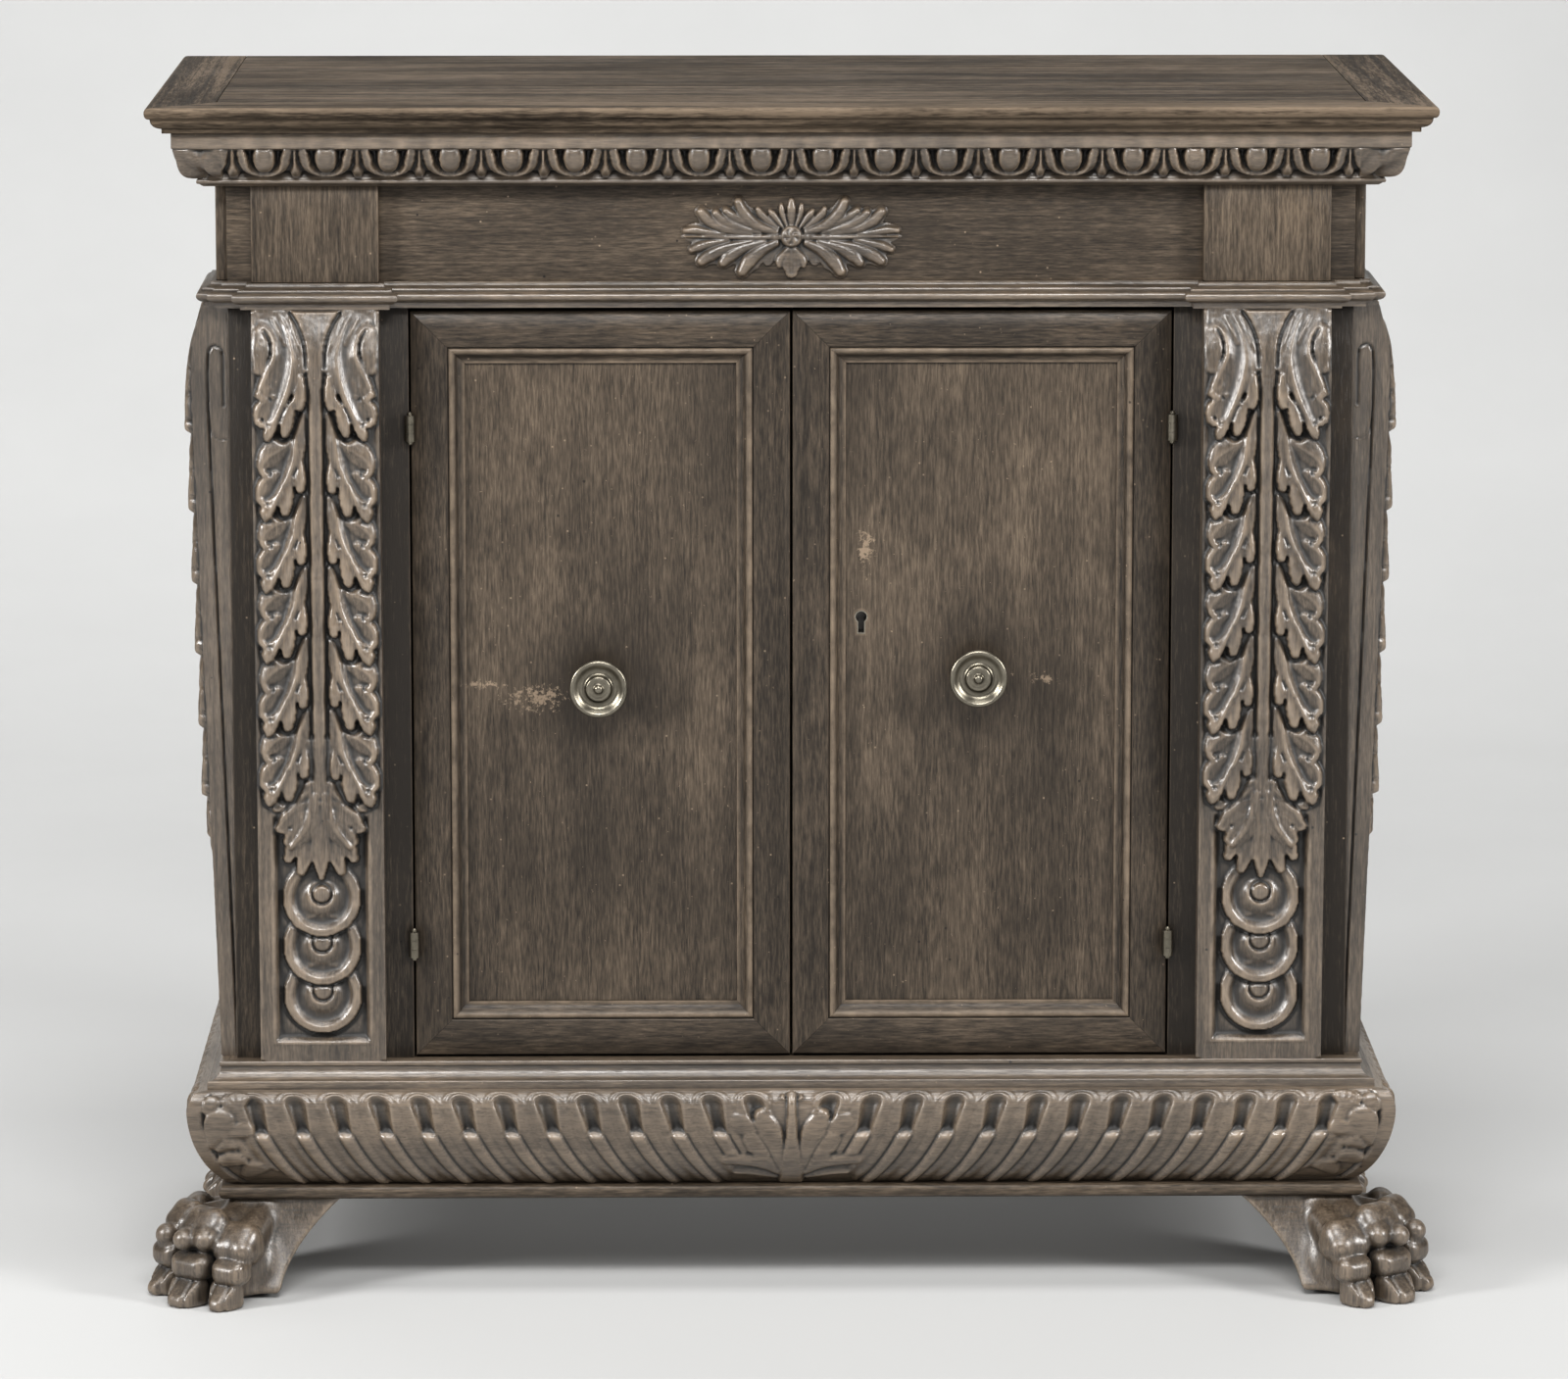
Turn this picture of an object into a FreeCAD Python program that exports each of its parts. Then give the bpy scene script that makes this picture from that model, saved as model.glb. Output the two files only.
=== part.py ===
# Renaissance-style walnut credenza: a two-door cupboard with a moulded top, an
# egg-and-dart cornice, leaning carved pilasters, a gadrooned base and paw feet.
# Frame: +Z up, front faces -Y, origin on the floor below the middle of the box.
import FreeCAD, Part
import math
import os
from FreeCAD import Vector as V

os.makedirs("parts", exist_ok=True)
doc = FreeCAD.newDocument("credenza")

# ------------------------------------------------------------------ dimensions
SIZES = [
    ("total_height", 1014.0), ("half_depth", 240.0),
    ("top_half_width", 532.5), ("top_front", -220.0), ("top_thick", 22.0),
    ("cleat_width", 56.0), ("band_width", 52.0), ("edge_drop", 13.0), ("nose_round", 4.0),
    ("carcass_half", 470.0), ("front_plane", -158.0), ("stile_thick", 25.0),
    ("side_thick", 20.0), ("back_face", 236.0), ("back_thick", 14.0),
    ("cornice_low", 945.0), ("cornice_fillet", 952.5), ("cornice_fascia", 977.0),
    ("cornice_out", 42.0), ("cornice_in", 21.0),
    ("block_thick", 12.0), ("side_block_thick", 9.5), ("block_inner", 343.0), ("block_outer", 449.0),
    ("arch_low", 842.0), ("arch_high", 863.5), ("arch_out", 16.0),
    ("pil_foot", 12.5), ("pil_head", 31.0), ("pil_crown", 20.0), ("pil_bulge_z", 792.0),
    ("side_pil_front", -150.0), ("side_pil_width", 100.0), ("side_pil_rear", 122.0),
    ("base_top", 200.0), ("cove_low", 178.0), ("cove_in", 14.0), ("cove_out", 24.0),
    ("gad_low", 92.0), ("gad_out", 40.0), ("frame_low", 80.0), ("frame_out", 16.0),
    ("floor_thick", 20.0), ("shelf_z", 500.0), ("shelf_thick", 18.0), ("shelf_front", -108.0),
    ("jamb_half", 319.5), ("door_outer", 318.0), ("door_inner", 1.0),
    ("door_low", 202.0), ("door_high", 838.0), ("door_thick", 22.0), ("frame_w", 45.0),
    ("bead_w", 14.0), ("bead_drop", 8.0), ("groove_deep", 7.0), ("panel_thick", 10.0), ("panel_set", 10.0),
    ("hinge_x", 318.75), ("hinge_y", -163.0), ("hinge_hi", 740.0), ("hinge_lo", 299.0),
    ("knuckle_rad", 4.5), ("knuckle_bore", 2.05), ("hinge_pin_rad", 2.0), ("hinge_tall", 22.0), ("leaf_thick", 0.6),
    ("knob_left_x", -162.0), ("knob_left_z", 521.0), ("knob_right_x", 157.0), ("knob_right_z", 529.0),
    ("knob_rad", 24.5), ("knob_reach", 34.0), ("spindle_rad", 4.0), ("spindle_hole", 4.05),
    ("key_x", 59.0), ("key_z", 577.0), ("key_rad", 4.6), ("key_slot", 2.5), ("key_drop", 13.5), ("lining_thick", 0.9),
    ("lock_x", 6.0), ("lock_w", 84.0), ("lock_h", 72.0), ("lock_deep", 16.0), ("lock_wall", 2.0),
    ("bolt_w", 64.0), ("bolt_h", 14.0), ("bolt_thick", 6.0),
    ("rod_x", -24.0), ("rod_y", -127.0), ("rod_rad", 3.0), ("rod_hole", 3.05), ("rod_low", 742.0), ("rod_high", 836.0),
    ("leg_side", 94.0), ("leg_x", 431.0), ("leg_front_y", -119.0), ("leg_rear_y", 177.0),
    ("rosette_half_w", 92.0), ("rosette_half_h", 33.0), ("rosette_z", 901.0), ("rosette_thick", 9.0),
]
sheet = doc.addObject("Spreadsheet::Sheet", "Dims")
for row, (alias, value) in enumerate(SIZES, start=1):
    sheet.set("A%d" % row, alias)
    sheet.set("B%d" % row, repr(float(value)))
    sheet.setAlias("B%d" % row, alias)
doc.recompute()


class Q:
    """A length that knows its value and the sheet expression it comes from."""

    def __init__(self, v, s=None):
        self.v = float(v)
        self.s = s if s is not None else "%.6f" % float(v)

    def __add__(self, o):
        o = q(o)
        return Q(self.v + o.v, "(%s + %s)" % (self.s, o.s))

    __radd__ = __add__

    def __sub__(self, o):
        o = q(o)
        return Q(self.v - o.v, "(%s - %s)" % (self.s, o.s))

    def __rsub__(self, o):
        return q(o) - self

    def __mul__(self, o):
        o = q(o)
        return Q(self.v * o.v, "(%s * %s)" % (self.s, o.s))

    __rmul__ = __mul__

    def __truediv__(self, o):
        o = q(o)
        return Q(self.v / o.v, "(%s / %s)" % (self.s, o.s))

    def __neg__(self):
        return Q(-self.v, "(0 - %s)" % self.s)


def q(x):
    return x if isinstance(x, Q) else Q(x)


D = {alias: Q(value, "Dims." + alias) for alias, value in SIZES}
nodes = {}          # label -> list of document objects that make up that sub-part


def place(o, x=0, y=0, z=0):
    for axis, value in (("x", x), ("y", y), ("z", z)):
        value = q(value)
        o.setExpression("Placement.Base." + axis, value.s)


def keep(label, o):
    nodes.setdefault(label, []).append(o)
    return o


def unique(label):
    n = len(nodes.get(label, []))
    return label if n == 0 else "%s_%d" % (label, n + 1)


def box(label, x0, x1, y0, y1, z0, z1, hold=True):
    x0, x1, y0, y1, z0, z1 = map(q, (x0, x1, y0, y1, z0, z1))
    o = doc.addObject("Part::Box", unique(label) if hold else label)
    o.Label = unique(label) if hold else label
    o.setExpression("Length", (x1 - x0).s)
    o.setExpression("Width", (y1 - y0).s)
    o.setExpression("Height", (z1 - z0).s)
    place(o, x0, y0, z0)
    return keep(label, o) if hold else o


def new_body(label):
    b = doc.addObject("PartDesign::Body", unique(label))
    b.Label = unique(label)
    return keep(label, b)


def plane(body, role):
    return [f for f in body.Origin.OriginFeatures if f.Role == role][0]


def sketch(body, role, name="Outline"):
    sk = body.newObject("Sketcher::SketchObject", body.Name + "_" + name)
    sk.AttachmentSupport = [(plane(body, role), "")]
    sk.MapMode = "FlatFace"
    return sk


import Sketcher


def outline(sk, pts):
    """A closed polygon whose corners are tied to the sheet."""
    pts = [(q(a), q(b)) for a, b in pts]
    first = sk.GeometryCount
    n = len(pts)
    for i in range(n):
        a, b = pts[i], pts[(i + 1) % n]
        sk.addGeometry(Part.LineSegment(V(a[0].v, a[1].v, 0), V(b[0].v, b[1].v, 0)), False)
    for i in range(n):
        sk.addConstraint(Sketcher.Constraint("Coincident", first + i, 2, first + (i + 1) % n, 1))
    for i in range(n):
        for kind, value in (("DistanceX", pts[i][0]), ("DistanceY", pts[i][1])):
            if abs(value.v) < 1e-9:
                # a corner on an axis of the sketch
                sk.addConstraint(Sketcher.Constraint("PointOnObject", first + i, 1, -2 if kind == "DistanceX" else -1))
                continue
            k = sk.addConstraint(Sketcher.Constraint(kind, first + i, 1, value.v))
            if "Dims" in value.s:
                sk.setExpression("Constraints[%d]" % k, value.s)
    return sk


def circle(sk, cx, cy, r):
    cx, cy, r = q(cx), q(cy), q(r)
    g = sk.addGeometry(Part.Circle(V(cx.v, cy.v, 0), V(0, 0, 1), r.v), False)
    k = sk.addConstraint(Sketcher.Constraint("Radius", g, r.v))
    if "Dims" in r.s:
        sk.setExpression("Constraints[%d]" % k, r.s)
    for kind, value in (("DistanceX", cx), ("DistanceY", cy)):
        if abs(value.v) < 1e-9:
            sk.addConstraint(Sketcher.Constraint("PointOnObject", g, 3, -2 if kind == "DistanceX" else -1))
            continue
        k = sk.addConstraint(Sketcher.Constraint(kind, g, 3, value.v))
        if "Dims" in value.s:
            sk.setExpression("Constraints[%d]" % k, value.s)
    return g


def pad(body, sk, length):
    f = body.newObject("PartDesign::Pad", body.Name + "_Pad")
    f.Profile = sk
    f.setExpression("Length", q(length).s)
    body.Tip = f
    return f


def prism(label, role, pts, length, at=(0, 0, 0)):
    """A PartDesign body: one outline on an origin plane, padded by length along +X (YZ), +Z (XY) or -Y (XZ)."""
    b = new_body(label)
    pad(b, outline(sketch(b, role), pts), length)
    place(b, *at)
    return b


def cut_through(body, role, shapes, name="Cut"):
    """Pockets outlines right through the body, both ways from an origin plane."""
    doc.recompute()
    before = body.Shape.Volume
    sk = sketch(body, role, name)
    for pts in shapes:
        if len(pts) == 3 and pts[0] == "circle":
            circle(sk, *pts[1], pts[2])
        else:
            outline(sk, pts)
    f = body.newObject("PartDesign::Pocket", body.Name + "_" + name + "_Pocket")
    f.Profile = sk
    f.Type = 1
    f.Midplane = True
    body.Tip = f
    doc.recompute()
    if not body.Shape.Volume < before - 1e-3:
        raise SystemExit("pocket cut nothing in " + body.Label)
    return f


def round_edges(body, pick, radius, kind="Fillet"):
    """Fillet or chamfer on the edges of the body's last feature that pick() accepts."""
    doc.recompute()
    base = body.Tip
    names = ["Edge%d" % (i + 1) for i, e in enumerate(base.Shape.Edges) if pick(e)]
    if not names:
        raise SystemExit("no edges found on " + body.Label)
    f = body.newObject("PartDesign::" + kind, body.Name + "_" + kind)
    f.Base = (base, names)
    f.setExpression("Radius" if kind == "Fillet" else "Size", q(radius).s)
    body.Tip = f
    doc.recompute()
    return f


def along(e, axis):
    """True if a straight edge runs along that axis."""
    if e.Curve.TypeId != "Part::GeomLine":
        return False
    d = e.Vertexes[-1].Point - e.Vertexes[0].Point
    k = "xyz".index(axis)
    return all(abs(d[i]) < 1e-6 for i in range(3) if i != k) and abs(d[k]) > 1e-6


def mid(e):
    return e.CenterOfMass


# ------------------------------------------------------------------ the top
th, tt = D["total_height"], D["top_thick"]
tw, tf, hd = D["top_half_width"], D["top_front"], D["half_depth"]
cw, bw = D["cleat_width"], D["band_width"]
top_z = th - tt
ed = D["edge_drop"]

# field: long-grain boards inside the banding
box("top_field", -(tw - cw), tw - cw, tf + bw, hd, top_z, th)

# front band: moulded nose along the front, mitred into the cleats
band = prism("top_front_band", "YZ_Plane",
             [(tf + bw, 0), (tf + 20, 0), (tf + 13, 5), (tf + 4, 11), (tf, 15), (tf, 19), (tf + 3, tt), (tf + bw, tt)],
             tw * 2, (-tw, 0, top_z))
cut_through(band, "XY_Plane", [
    [(0 - 1, tf - bw / cw), (cw, tf + bw), (0 - 1, tf + bw + 1)],
    [(tw * 2 + 1, tf - bw / cw), (tw * 2 + 1, tf + bw + 1), (tw * 2 - cw, tf + bw)],
], "Mitre")
for side, label in ((-1, "top_cleat_left"), (1, "top_cleat_right")):
    # the cleat's section lies across X; it is padded along -Y from the back edge
    sec = [(tw * side - side * cw, 0), (tw * side - side * 20, 0), (tw * side - side * 13, 5), (tw * side - side * 4, 11),
           (tw * side, 15), (tw * side, 19), (tw * side - side * 3, tt), (tw * side - side * cw, tt)]
    b = prism(label, "XZ_Plane", sec, hd - tf, (0, hd, top_z))
    # local y runs from the back edge (0) to the front (-(hd - tf))
    run = hd - tf
    cut_through(b, "XY_Plane", [
        [(tw * side, -run), (tw * side - side * (cw + 1), -run + bw + bw / cw), (tw * side - side * (cw + 1), -run - 1),
         (tw * side, -run - 1)],
    ], "Mitre")

# ------------------------------------------------------------------ cornice
fp, ch = D["front_plane"], D["carcass_half"]
co, ci = D["cornice_out"], D["cornice_in"]
c0, c1, c2 = D["cornice_low"], D["cornice_fillet"], D["cornice_fascia"]


def ovolo(a0, b0, a1, b1, n=6):
    """Quarter-round points from (a0, b0) out to (a1, b1)."""
    pts = []
    for i in range(n + 1):
        t = math.pi / 2 * i / n
        pts.append((a0 + (a1 - a0) * math.sin(t), b0 + (b1 - b0) * (1 - math.cos(t))))
    return pts


def cornice_profile(sign, origin):
    """(out, z) points turned into plane coordinates: out runs along sign from origin."""
    pts = [(q(0), q(0)), (ci, q(0)), (ci, c1 - c0)]
    pts += ovolo(ci + 1, c1 - c0, co, c2 - c0)[1:]
    pts += [(co, top_z - c0), (q(0), top_z - c0)]
    return [(origin + sign * a, b) for a, b in pts]


length = (ch + co) * 2
b = prism("cornice_front", "YZ_Plane", cornice_profile(-1, fp), length, (-(ch + co), 0, c0))
cut_through(b, "XY_Plane", [
    [(0 - 1, fp - co - 1), (co, fp), (co, fp + 1), (0 - 1, fp + 1)],
    [(length + 1, fp - co - 1), (length + 1, fp + 1), (length - co, fp + 1), (length - co, fp)],
], "Mitre")
bf = D["back_face"]
run = bf - (fp - co)
for side in (-1, 1):
    b = prism("cornice_sides", "XZ_Plane", cornice_profile(side, ch * side), run, (0, bf, c0))
    cut_through(b, "XY_Plane", [
        [(ch * side, -run + co), (ch * side + side * (co + 1), -run - 1), (ch * side - side * 1, -run - 1), (ch * side - side * 1, -run + co)],
    ], "Mitre")

# ------------------------------------------------------------------ frieze
st = D["stile_thick"]
a0, a1, ao = D["arch_low"], D["arch_high"], D["arch_out"]
bi, bo, bt = D["block_inner"], D["block_outer"], D["block_thick"]
box("frieze_rail", -ch, ch, fp, fp + st, a0, top_z)
for side in (-1, 1):
    x0, x1 = (bi, bo) if side > 0 else (-bo, -bi)
    b = prism("frieze_blocks", "XZ_Plane", [(x0, a1), (x1, a1), (x1, c0), (x0, c0)], bt, (0, fp, 0))
    round_edges(b, lambda e: along(e, "z") and mid(e).y < -bt.v + 0.1, 1.0, "Chamfer")
sbt, spf, spw, spr = D["side_block_thick"], D["side_pil_front"], D["side_pil_width"], D["side_pil_rear"]
for side in (-1, 1):
    x0, x1 = (ch, ch + sbt) if side > 0 else (-ch - sbt, -ch)
    for y0 in (spf, spr):
        box("side_frieze_blocks", x0, x1, y0, y0 + spw, a1, c0)
rw, rh, rz, rt = D["rosette_half_w"], D["rosette_half_h"], D["rosette_z"], D["rosette_thick"]
b = prism("frieze_rosette", "XZ_Plane",
          [(-rw, rz + 1), (-rw * 0.72, rz - rh * 0.62), (-rw * 0.46, rz - rh * 0.9), (-rw * 0.2, rz - rh * 0.45), (q(0), rz - rh),
           (rw * 0.2, rz - rh * 0.45), (rw * 0.46, rz - rh * 0.9), (rw * 0.72, rz - rh * 0.62), (rw, rz + 1),
           (rw * 0.8, rz + rh * 0.62), (rw * 0.46, rz + rh), (rw * 0.24, rz + rh * 0.62), (q(0), rz + rh),
           (-rw * 0.24, rz + rh * 0.62), (-rw * 0.46, rz + rh), (-rw * 0.8, rz + rh * 0.62)], rt, (0, fp, 0))
round_edges(b, lambda e: all(abs(p.Point.y + rt.v) < 1e-6 for p in e.Vertexes), 2.5, "Chamfer")

# ------------------------------------------------------------------ architrave: a bead moulding that breaks round the blocks
def val(name):
    return D[name].v


def moulding(path, profile):
    """Sweeps a (out, z) profile along a plan path with square mitres; out lies to the left of the path."""
    wire = Part.makePolygon([V(x, y, 0) for x, y in path])
    d = (V(*path[1], 0) - V(*path[0], 0)).normalize()
    n = V(-d.y, d.x, 0)
    p0 = V(*path[0], 0)
    pts = [p0 + n * o + V(0, 0, z) for o, z in profile]
    face = Part.makePolygon(pts + pts[:1])
    swept = wire.makePipeShell([face], True, False, 1)
    if swept.Volume < 0:
        swept.reverse()
    return swept


arch_profile = [(0, 842), (9, 842), (9, 846), (12, 847), (15, 849.5), (16, 852), (15, 854.5), (12, 856), (11, 857.5), (6, 859), (4, 863.5), (0, 863.5)]
arch_profile = [(o * val("arch_out") / 16, val("arch_low") + (z - 842) * (val("arch_high") - val("arch_low")) / 21.5) for o, z in arch_profile]
BI, BO, FP, CH = val("block_inner"), val("block_outer"), val("front_plane"), val("carcass_half")
BF = FP - val("block_thick")
SX = CH + val("side_block_thick")
AO = val("arch_out")
# walked from right to left, so that out (left of the walk) is towards -Y
front_path = [(CH + AO, FP), (BO, FP), (BO, BF), (BI, BF), (BI, FP), (-BI, FP), (-BI, BF), (-BO, BF), (-BO, FP), (-CH - AO, FP)]
front_path = [(-x, y) for x, y in front_path]
solid = moulding([(x, y) for x, y in reversed(front_path)], arch_profile)
zl, zh = val("arch_low"), val("arch_high")
for s in (-1, 1):
    core = Part.makeBox(BO - BI, FP - BF, zh - zl, V(min(s * BI, s * BO), BF, zl))
    solid = solid.fuse(core)
# mitred at the two corners of the carcass
for s in (-1, 1):
    tri = Part.makePolygon([V(s * CH, FP, 0), V(s * (CH + 2 * AO), FP - 2 * AO, 0), V(s * (CH + 2 * AO), FP, 0), V(s * CH, FP, 0)])
    wedge = Part.Face(tri).extrude(V(0, 0, 2000))
    solid = solid.cut(wedge)
o = doc.addObject("Part::Feature", "architrave_front")
o.Label = "architrave_front"
o.Shape = solid.removeSplitter()
keep("architrave_front", o)
SPF, SPW, SPR, BK = val("side_pil_front"), val("side_pil_width"), val("side_pil_rear"), val("back_face")
for s in (-1, 1):
    path = [(CH, FP - AO), (CH, SPF), (SX, SPF), (SX, SPF + SPW), (CH, SPF + SPW), (CH, SPR), (SX, SPR), (SX, SPR + SPW), (CH, SPR + SPW), (CH, BK + 60)]
    path = list(reversed(path))        # walked towards the front, so that out is towards +X
    solid = moulding(path, arch_profile)
    for y0 in (SPF, SPR):
        solid = solid.fuse(Part.makeBox(SX - CH, SPW, zh - zl, V(CH, y0, zl)))
    tri = Part.makePolygon([V(CH, FP, 0), V(CH + 2 * AO, FP - 2 * AO, 0), V(CH - 1, FP - 2 * AO, 0), V(CH - 1, FP, 0), V(CH, FP, 0)])
    solid = solid.cut(Part.Face(tri).extrude(V(0, 0, 2000)))
    # squared off flush with the back
    solid = solid.cut(Part.makeBox(200, 200, 2000, V(CH - 50, BK, 0)))
    if s < 0:
        solid = solid.mirror(V(0, 0, 0), V(1, 0, 0))
    name = unique("architrave_sides")
    o = doc.addObject("Part::Feature", name)
    o.Label = name
    o.Shape = solid.removeSplitter()
    keep("architrave_sides", o)

# ------------------------------------------------------------------ leaning pilasters
pf, ph, pc, pz, bz = D["pil_foot"], D["pil_head"], D["pil_crown"], D["pil_bulge_z"], D["base_top"]
pil = [(q(0), bz), (pf, bz), (pf + 1, bz + 40), (ph - 1, pz - 40), (ph, pz), (ph - 4, pz + 30), (pc, a0), (q(0), a0)]
for side, label in ((-1, "pilaster_front_left"), (1, "pilaster_front_right")):
    x0 = bi if side > 0 else -bo
    b = prism(label, "YZ_Plane", [(fp - o_, z_) for o_, z_ in pil], bo - bi, (x0, 0, 0))
    round_edges(b, lambda e: not along(e, "x") and all(p.Point.y < fp.v - 5 for p in e.Vertexes), 1.0, "Chamfer")
for side, label in ((-1, "side_pilasters_left"), (1, "side_pilasters_right")):
    for y0 in (spf, spr):
        prism(label, "XZ_Plane", [(ch * side + side * o_, z_) for o_, z_ in pil], spw, (0, y0 + spw, 0))

# ------------------------------------------------------------------ carcass
jh, sth = D["jamb_half"], D["side_thick"]
gl, bk = D["gad_low"], D["back_thick"]
for side, label in ((-1, "front_stile_left"), (1, "front_stile_right")):
    x0, x1 = (jh, ch) if side > 0 else (-ch, -jh)
    prism(label, "XY_Plane", [(x0, fp), (x1, fp), (x1, fp + st), (x0, fp + st)], a0 - bz, (0, 0, bz))
for side, label in ((-1, "side_panel_left"), (1, "side_panel_right")):
    x0, x1 = (ch - sth, ch) if side > 0 else (-ch, -ch + sth)
    prism(label, "XY_Plane", [(x0, fp + st), (x1, fp + st), (x1, bf - bk), (x0, bf - bk)], top_z - gl, (0, 0, gl))
for i in range(4):
    w = ch * 2 / 4
    box("back_boards", -ch + w * i + 0.3, -ch + w * (i + 1) - 0.3, bf - bk, bf, gl, top_z)
ft = D["floor_thick"]
box("floor_board", -(ch - sth), ch - sth, fp + st, bf - bk, bz - ft, bz)
box("plinth_rail", -ch, ch, fp, fp + st, gl, bz)
sz, sf, sh = D["shelf_z"], D["shelf_front"], D["shelf_thick"]
b = prism("shelf", "YZ_Plane", [(sf, sz), (bf - bk, sz), (bf - bk, sz + sh), (sf, sz + sh)], (ch - sth) * 2, (-(ch - sth), 0, 0))
round_edges(b, lambda e: along(e, "x") and mid(e).y < sf.v + 0.1, 3.0)
for side in (-1, 1):
    x0, x1 = (ch - sth - 20, ch - sth) if side > 0 else (-(ch - sth), -(ch - sth) + 20)
    box("shelf_cleats", x0, x1, sf + 12, bf - bk - 12, sz - 20, sz)

# ------------------------------------------------------------------ base
cl, cin, cout = D["cove_low"], D["cove_in"], D["cove_out"]


def cove_profile(sign, origin):
    pts = [(q(0), q(0)), (cout, q(0)), (cout, q(6))]
    for i in range(1, 5):
        t = math.pi / 2 * i / 5
        pts.append((cin + (cout - cin) * (1 - math.sin(t)), q(6) + (bz - cl - 10) * (1 - math.cos(t)) ))
    pts += [(cin, bz - cl - 4), (cin, bz - cl), (q(0), bz - cl)]
    return [(origin + sign * a, b_) for a, b_ in pts]


def gadroon_profile(sign, origin):
    go = D["gad_out"]
    pts = [(q(0), q(0)), (q(6), q(0)), (q(18), q(10)), (go - 15, q(20)), (go - 8, q(33)), (go - 3, q(50)), (go, q(68)), (go - 1.5, q(77)), (go - 7, cl - gl), (q(0), cl - gl)]
    return [(origin + sign * a, b_) for a, b_ in pts]


def base_run(front_label, side_label, profile, out, z0):
    length = (ch + out) * 2
    b = prism(front_label, "YZ_Plane", profile(-1, fp), length, (-(ch + out), 0, z0))
    cut_through(b, "XY_Plane", [
        [(0 - 1, fp - out - 1), (out, fp), (out, fp + 1), (0 - 1, fp + 1)],
        [(length + 1, fp - out - 1), (length + 1, fp + 1), (length - out, fp + 1), (length - out, fp)],
    ], "Mitre")
    run = bf - (fp - out)
    for side in (-1, 1):
        name = side_label % {-1: "left", 1: "right"}[side] if "%s" in side_label else side_label
        b = prism(name, "XZ_Plane", profile(side, ch * side), run, (0, bf, z0))
        cut_through(b, "XY_Plane", [
            [(ch * side, -run + out), (ch * side + side * (out + 1), -run - 1), (ch * side - side * 1, -run - 1), (ch * side - side * 1, -run + out)],
        ], "Mitre")


base_run("base_cove_front", "base_cove_sides", cove_profile, cout, cl)
base_run("gadroon_front", "gadroon_%s", gadroon_profile, D["gad_out"], gl)
fl, fo = D["frame_low"], D["frame_out"]
b = prism("bottom_frame", "XY_Plane", [(-(ch + fo), fp - fo), (ch + fo, fp - fo), (ch + fo, bf), (-(ch + fo), bf)], gl - fl, (0, 0, fl))
round_edges(b, lambda e: (along(e, "x") and mid(e).y < fp.v) or (along(e, "y") and abs(mid(e).x) > ch.v), (gl - fl) / 2 - 0.4)

# ------------------------------------------------------------------ paw feet
ls, lx = D["leg_side"], D["leg_x"]


def foot(label, sx, leg_y, ux, uy, reach):
    """A square leg under the base, lofted out to a paw that points along (ux, uy)."""
    b = new_body(label)
    cx = lx * sx
    top = sketch(b, "XY_Plane", "Leg_top")
    half = ls / 2
    outline(top, [(cx - half, leg_y - half), (cx + half, leg_y - half), (cx + half, leg_y + half), (cx - half, leg_y + half)])
    top.AttachmentOffset = FreeCAD.Placement(V(0, 0, fl.v), FreeCAD.Rotation())
    top.setExpression("AttachmentOffset.Base.z", fl.s)
    low = sketch(b, "XY_Plane", "Leg_foot")
    px, py = cx + ux * reach * 0.62, leg_y + uy * reach * 0.62
    h2 = q(38)
    outline(low, [(px - h2, py - h2), (px + h2, py - h2), (px + h2, py + h2), (px - h2, py + h2)])
    low.AttachmentOffset = FreeCAD.Placement(V(0, 0, 6), FreeCAD.Rotation())
    loft = b.newObject("PartDesign::AdditiveLoft", b.Name + "_Leg")
    loft.Profile = low
    loft.Sections = [top]
    loft.Ruled = True
    b.Tip = loft
    doc.recompute()
    ang = math.degrees(math.atan2(uy, ux))
    pxn, pyn = cx.v + ux * reach, leg_y.v + uy * reach
    vx, vy = -uy, ux
    n = 0

    def grow(kind, where, turn=None, **sizes):
        nonlocal n
        e = b.newObject("PartDesign::Additive" + kind, "%s_Toe%d" % (b.Name, n))
        n += 1
        for key, value in sizes.items():
            setattr(e, key, value)
        e.Placement = FreeCAD.Placement(where, turn or FreeCAD.Rotation())
        b.Tip = e
        doc.recompute()

    for k, fwd in ((-1.5, -2.0), (-0.5, 9.0), (0.5, 9.0), (1.5, -2.0)):
        at = V(pxn + vx * k * 22.0, pyn + vy * k * 22.0, 0)
        tip = at + V(ux, uy, 0) * (fwd + 12.0) + V(0, 0, 12.0)
        knuckle = at + V(ux, uy, 0) * (fwd - 18.0) + V(0, 0, 49.0)
        grow("Cylinder", tip, FreeCAD.Rotation(V(0, 0, 1), knuckle - tip), Radius=13.0, Height=(knuckle - tip).Length)
        grow("Sphere", tip, Radius=15.0)
        grow("Sphere", knuckle, Radius=18.0)
    sk = sketch(b, "XY_Plane", "Ground")
    outline(sk, [(cx - 200, leg_y - 200), (cx + 200, leg_y - 200), (cx + 200, leg_y + 200), (cx - 200, leg_y + 200)])
    f = b.newObject("PartDesign::Pocket", b.Name + "_Ground_Pocket")
    f.Profile = sk
    f.Length = 60
    b.Tip = f
    doc.recompute()
    return b


lfy, lry = D["leg_front_y"], D["leg_rear_y"]
# the foremost toe of a front paw ends on the front of the overall box
front_reach = (val("half_depth") + lfy.v - 1.5 * 22.0 * 0.6 - 15.0) / 0.8 - 10.0
for side, label in ((-1, "foot_front_left"), (1, "foot_front_right")):
    foot(label, side, lfy, side * 0.6, -0.8, front_reach)
for side, label in ((-1, "foot_rear_left"), (1, "foot_rear_right")):
    foot(label, side, lry, side * 1.0, 0.0, 73.0)

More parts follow.
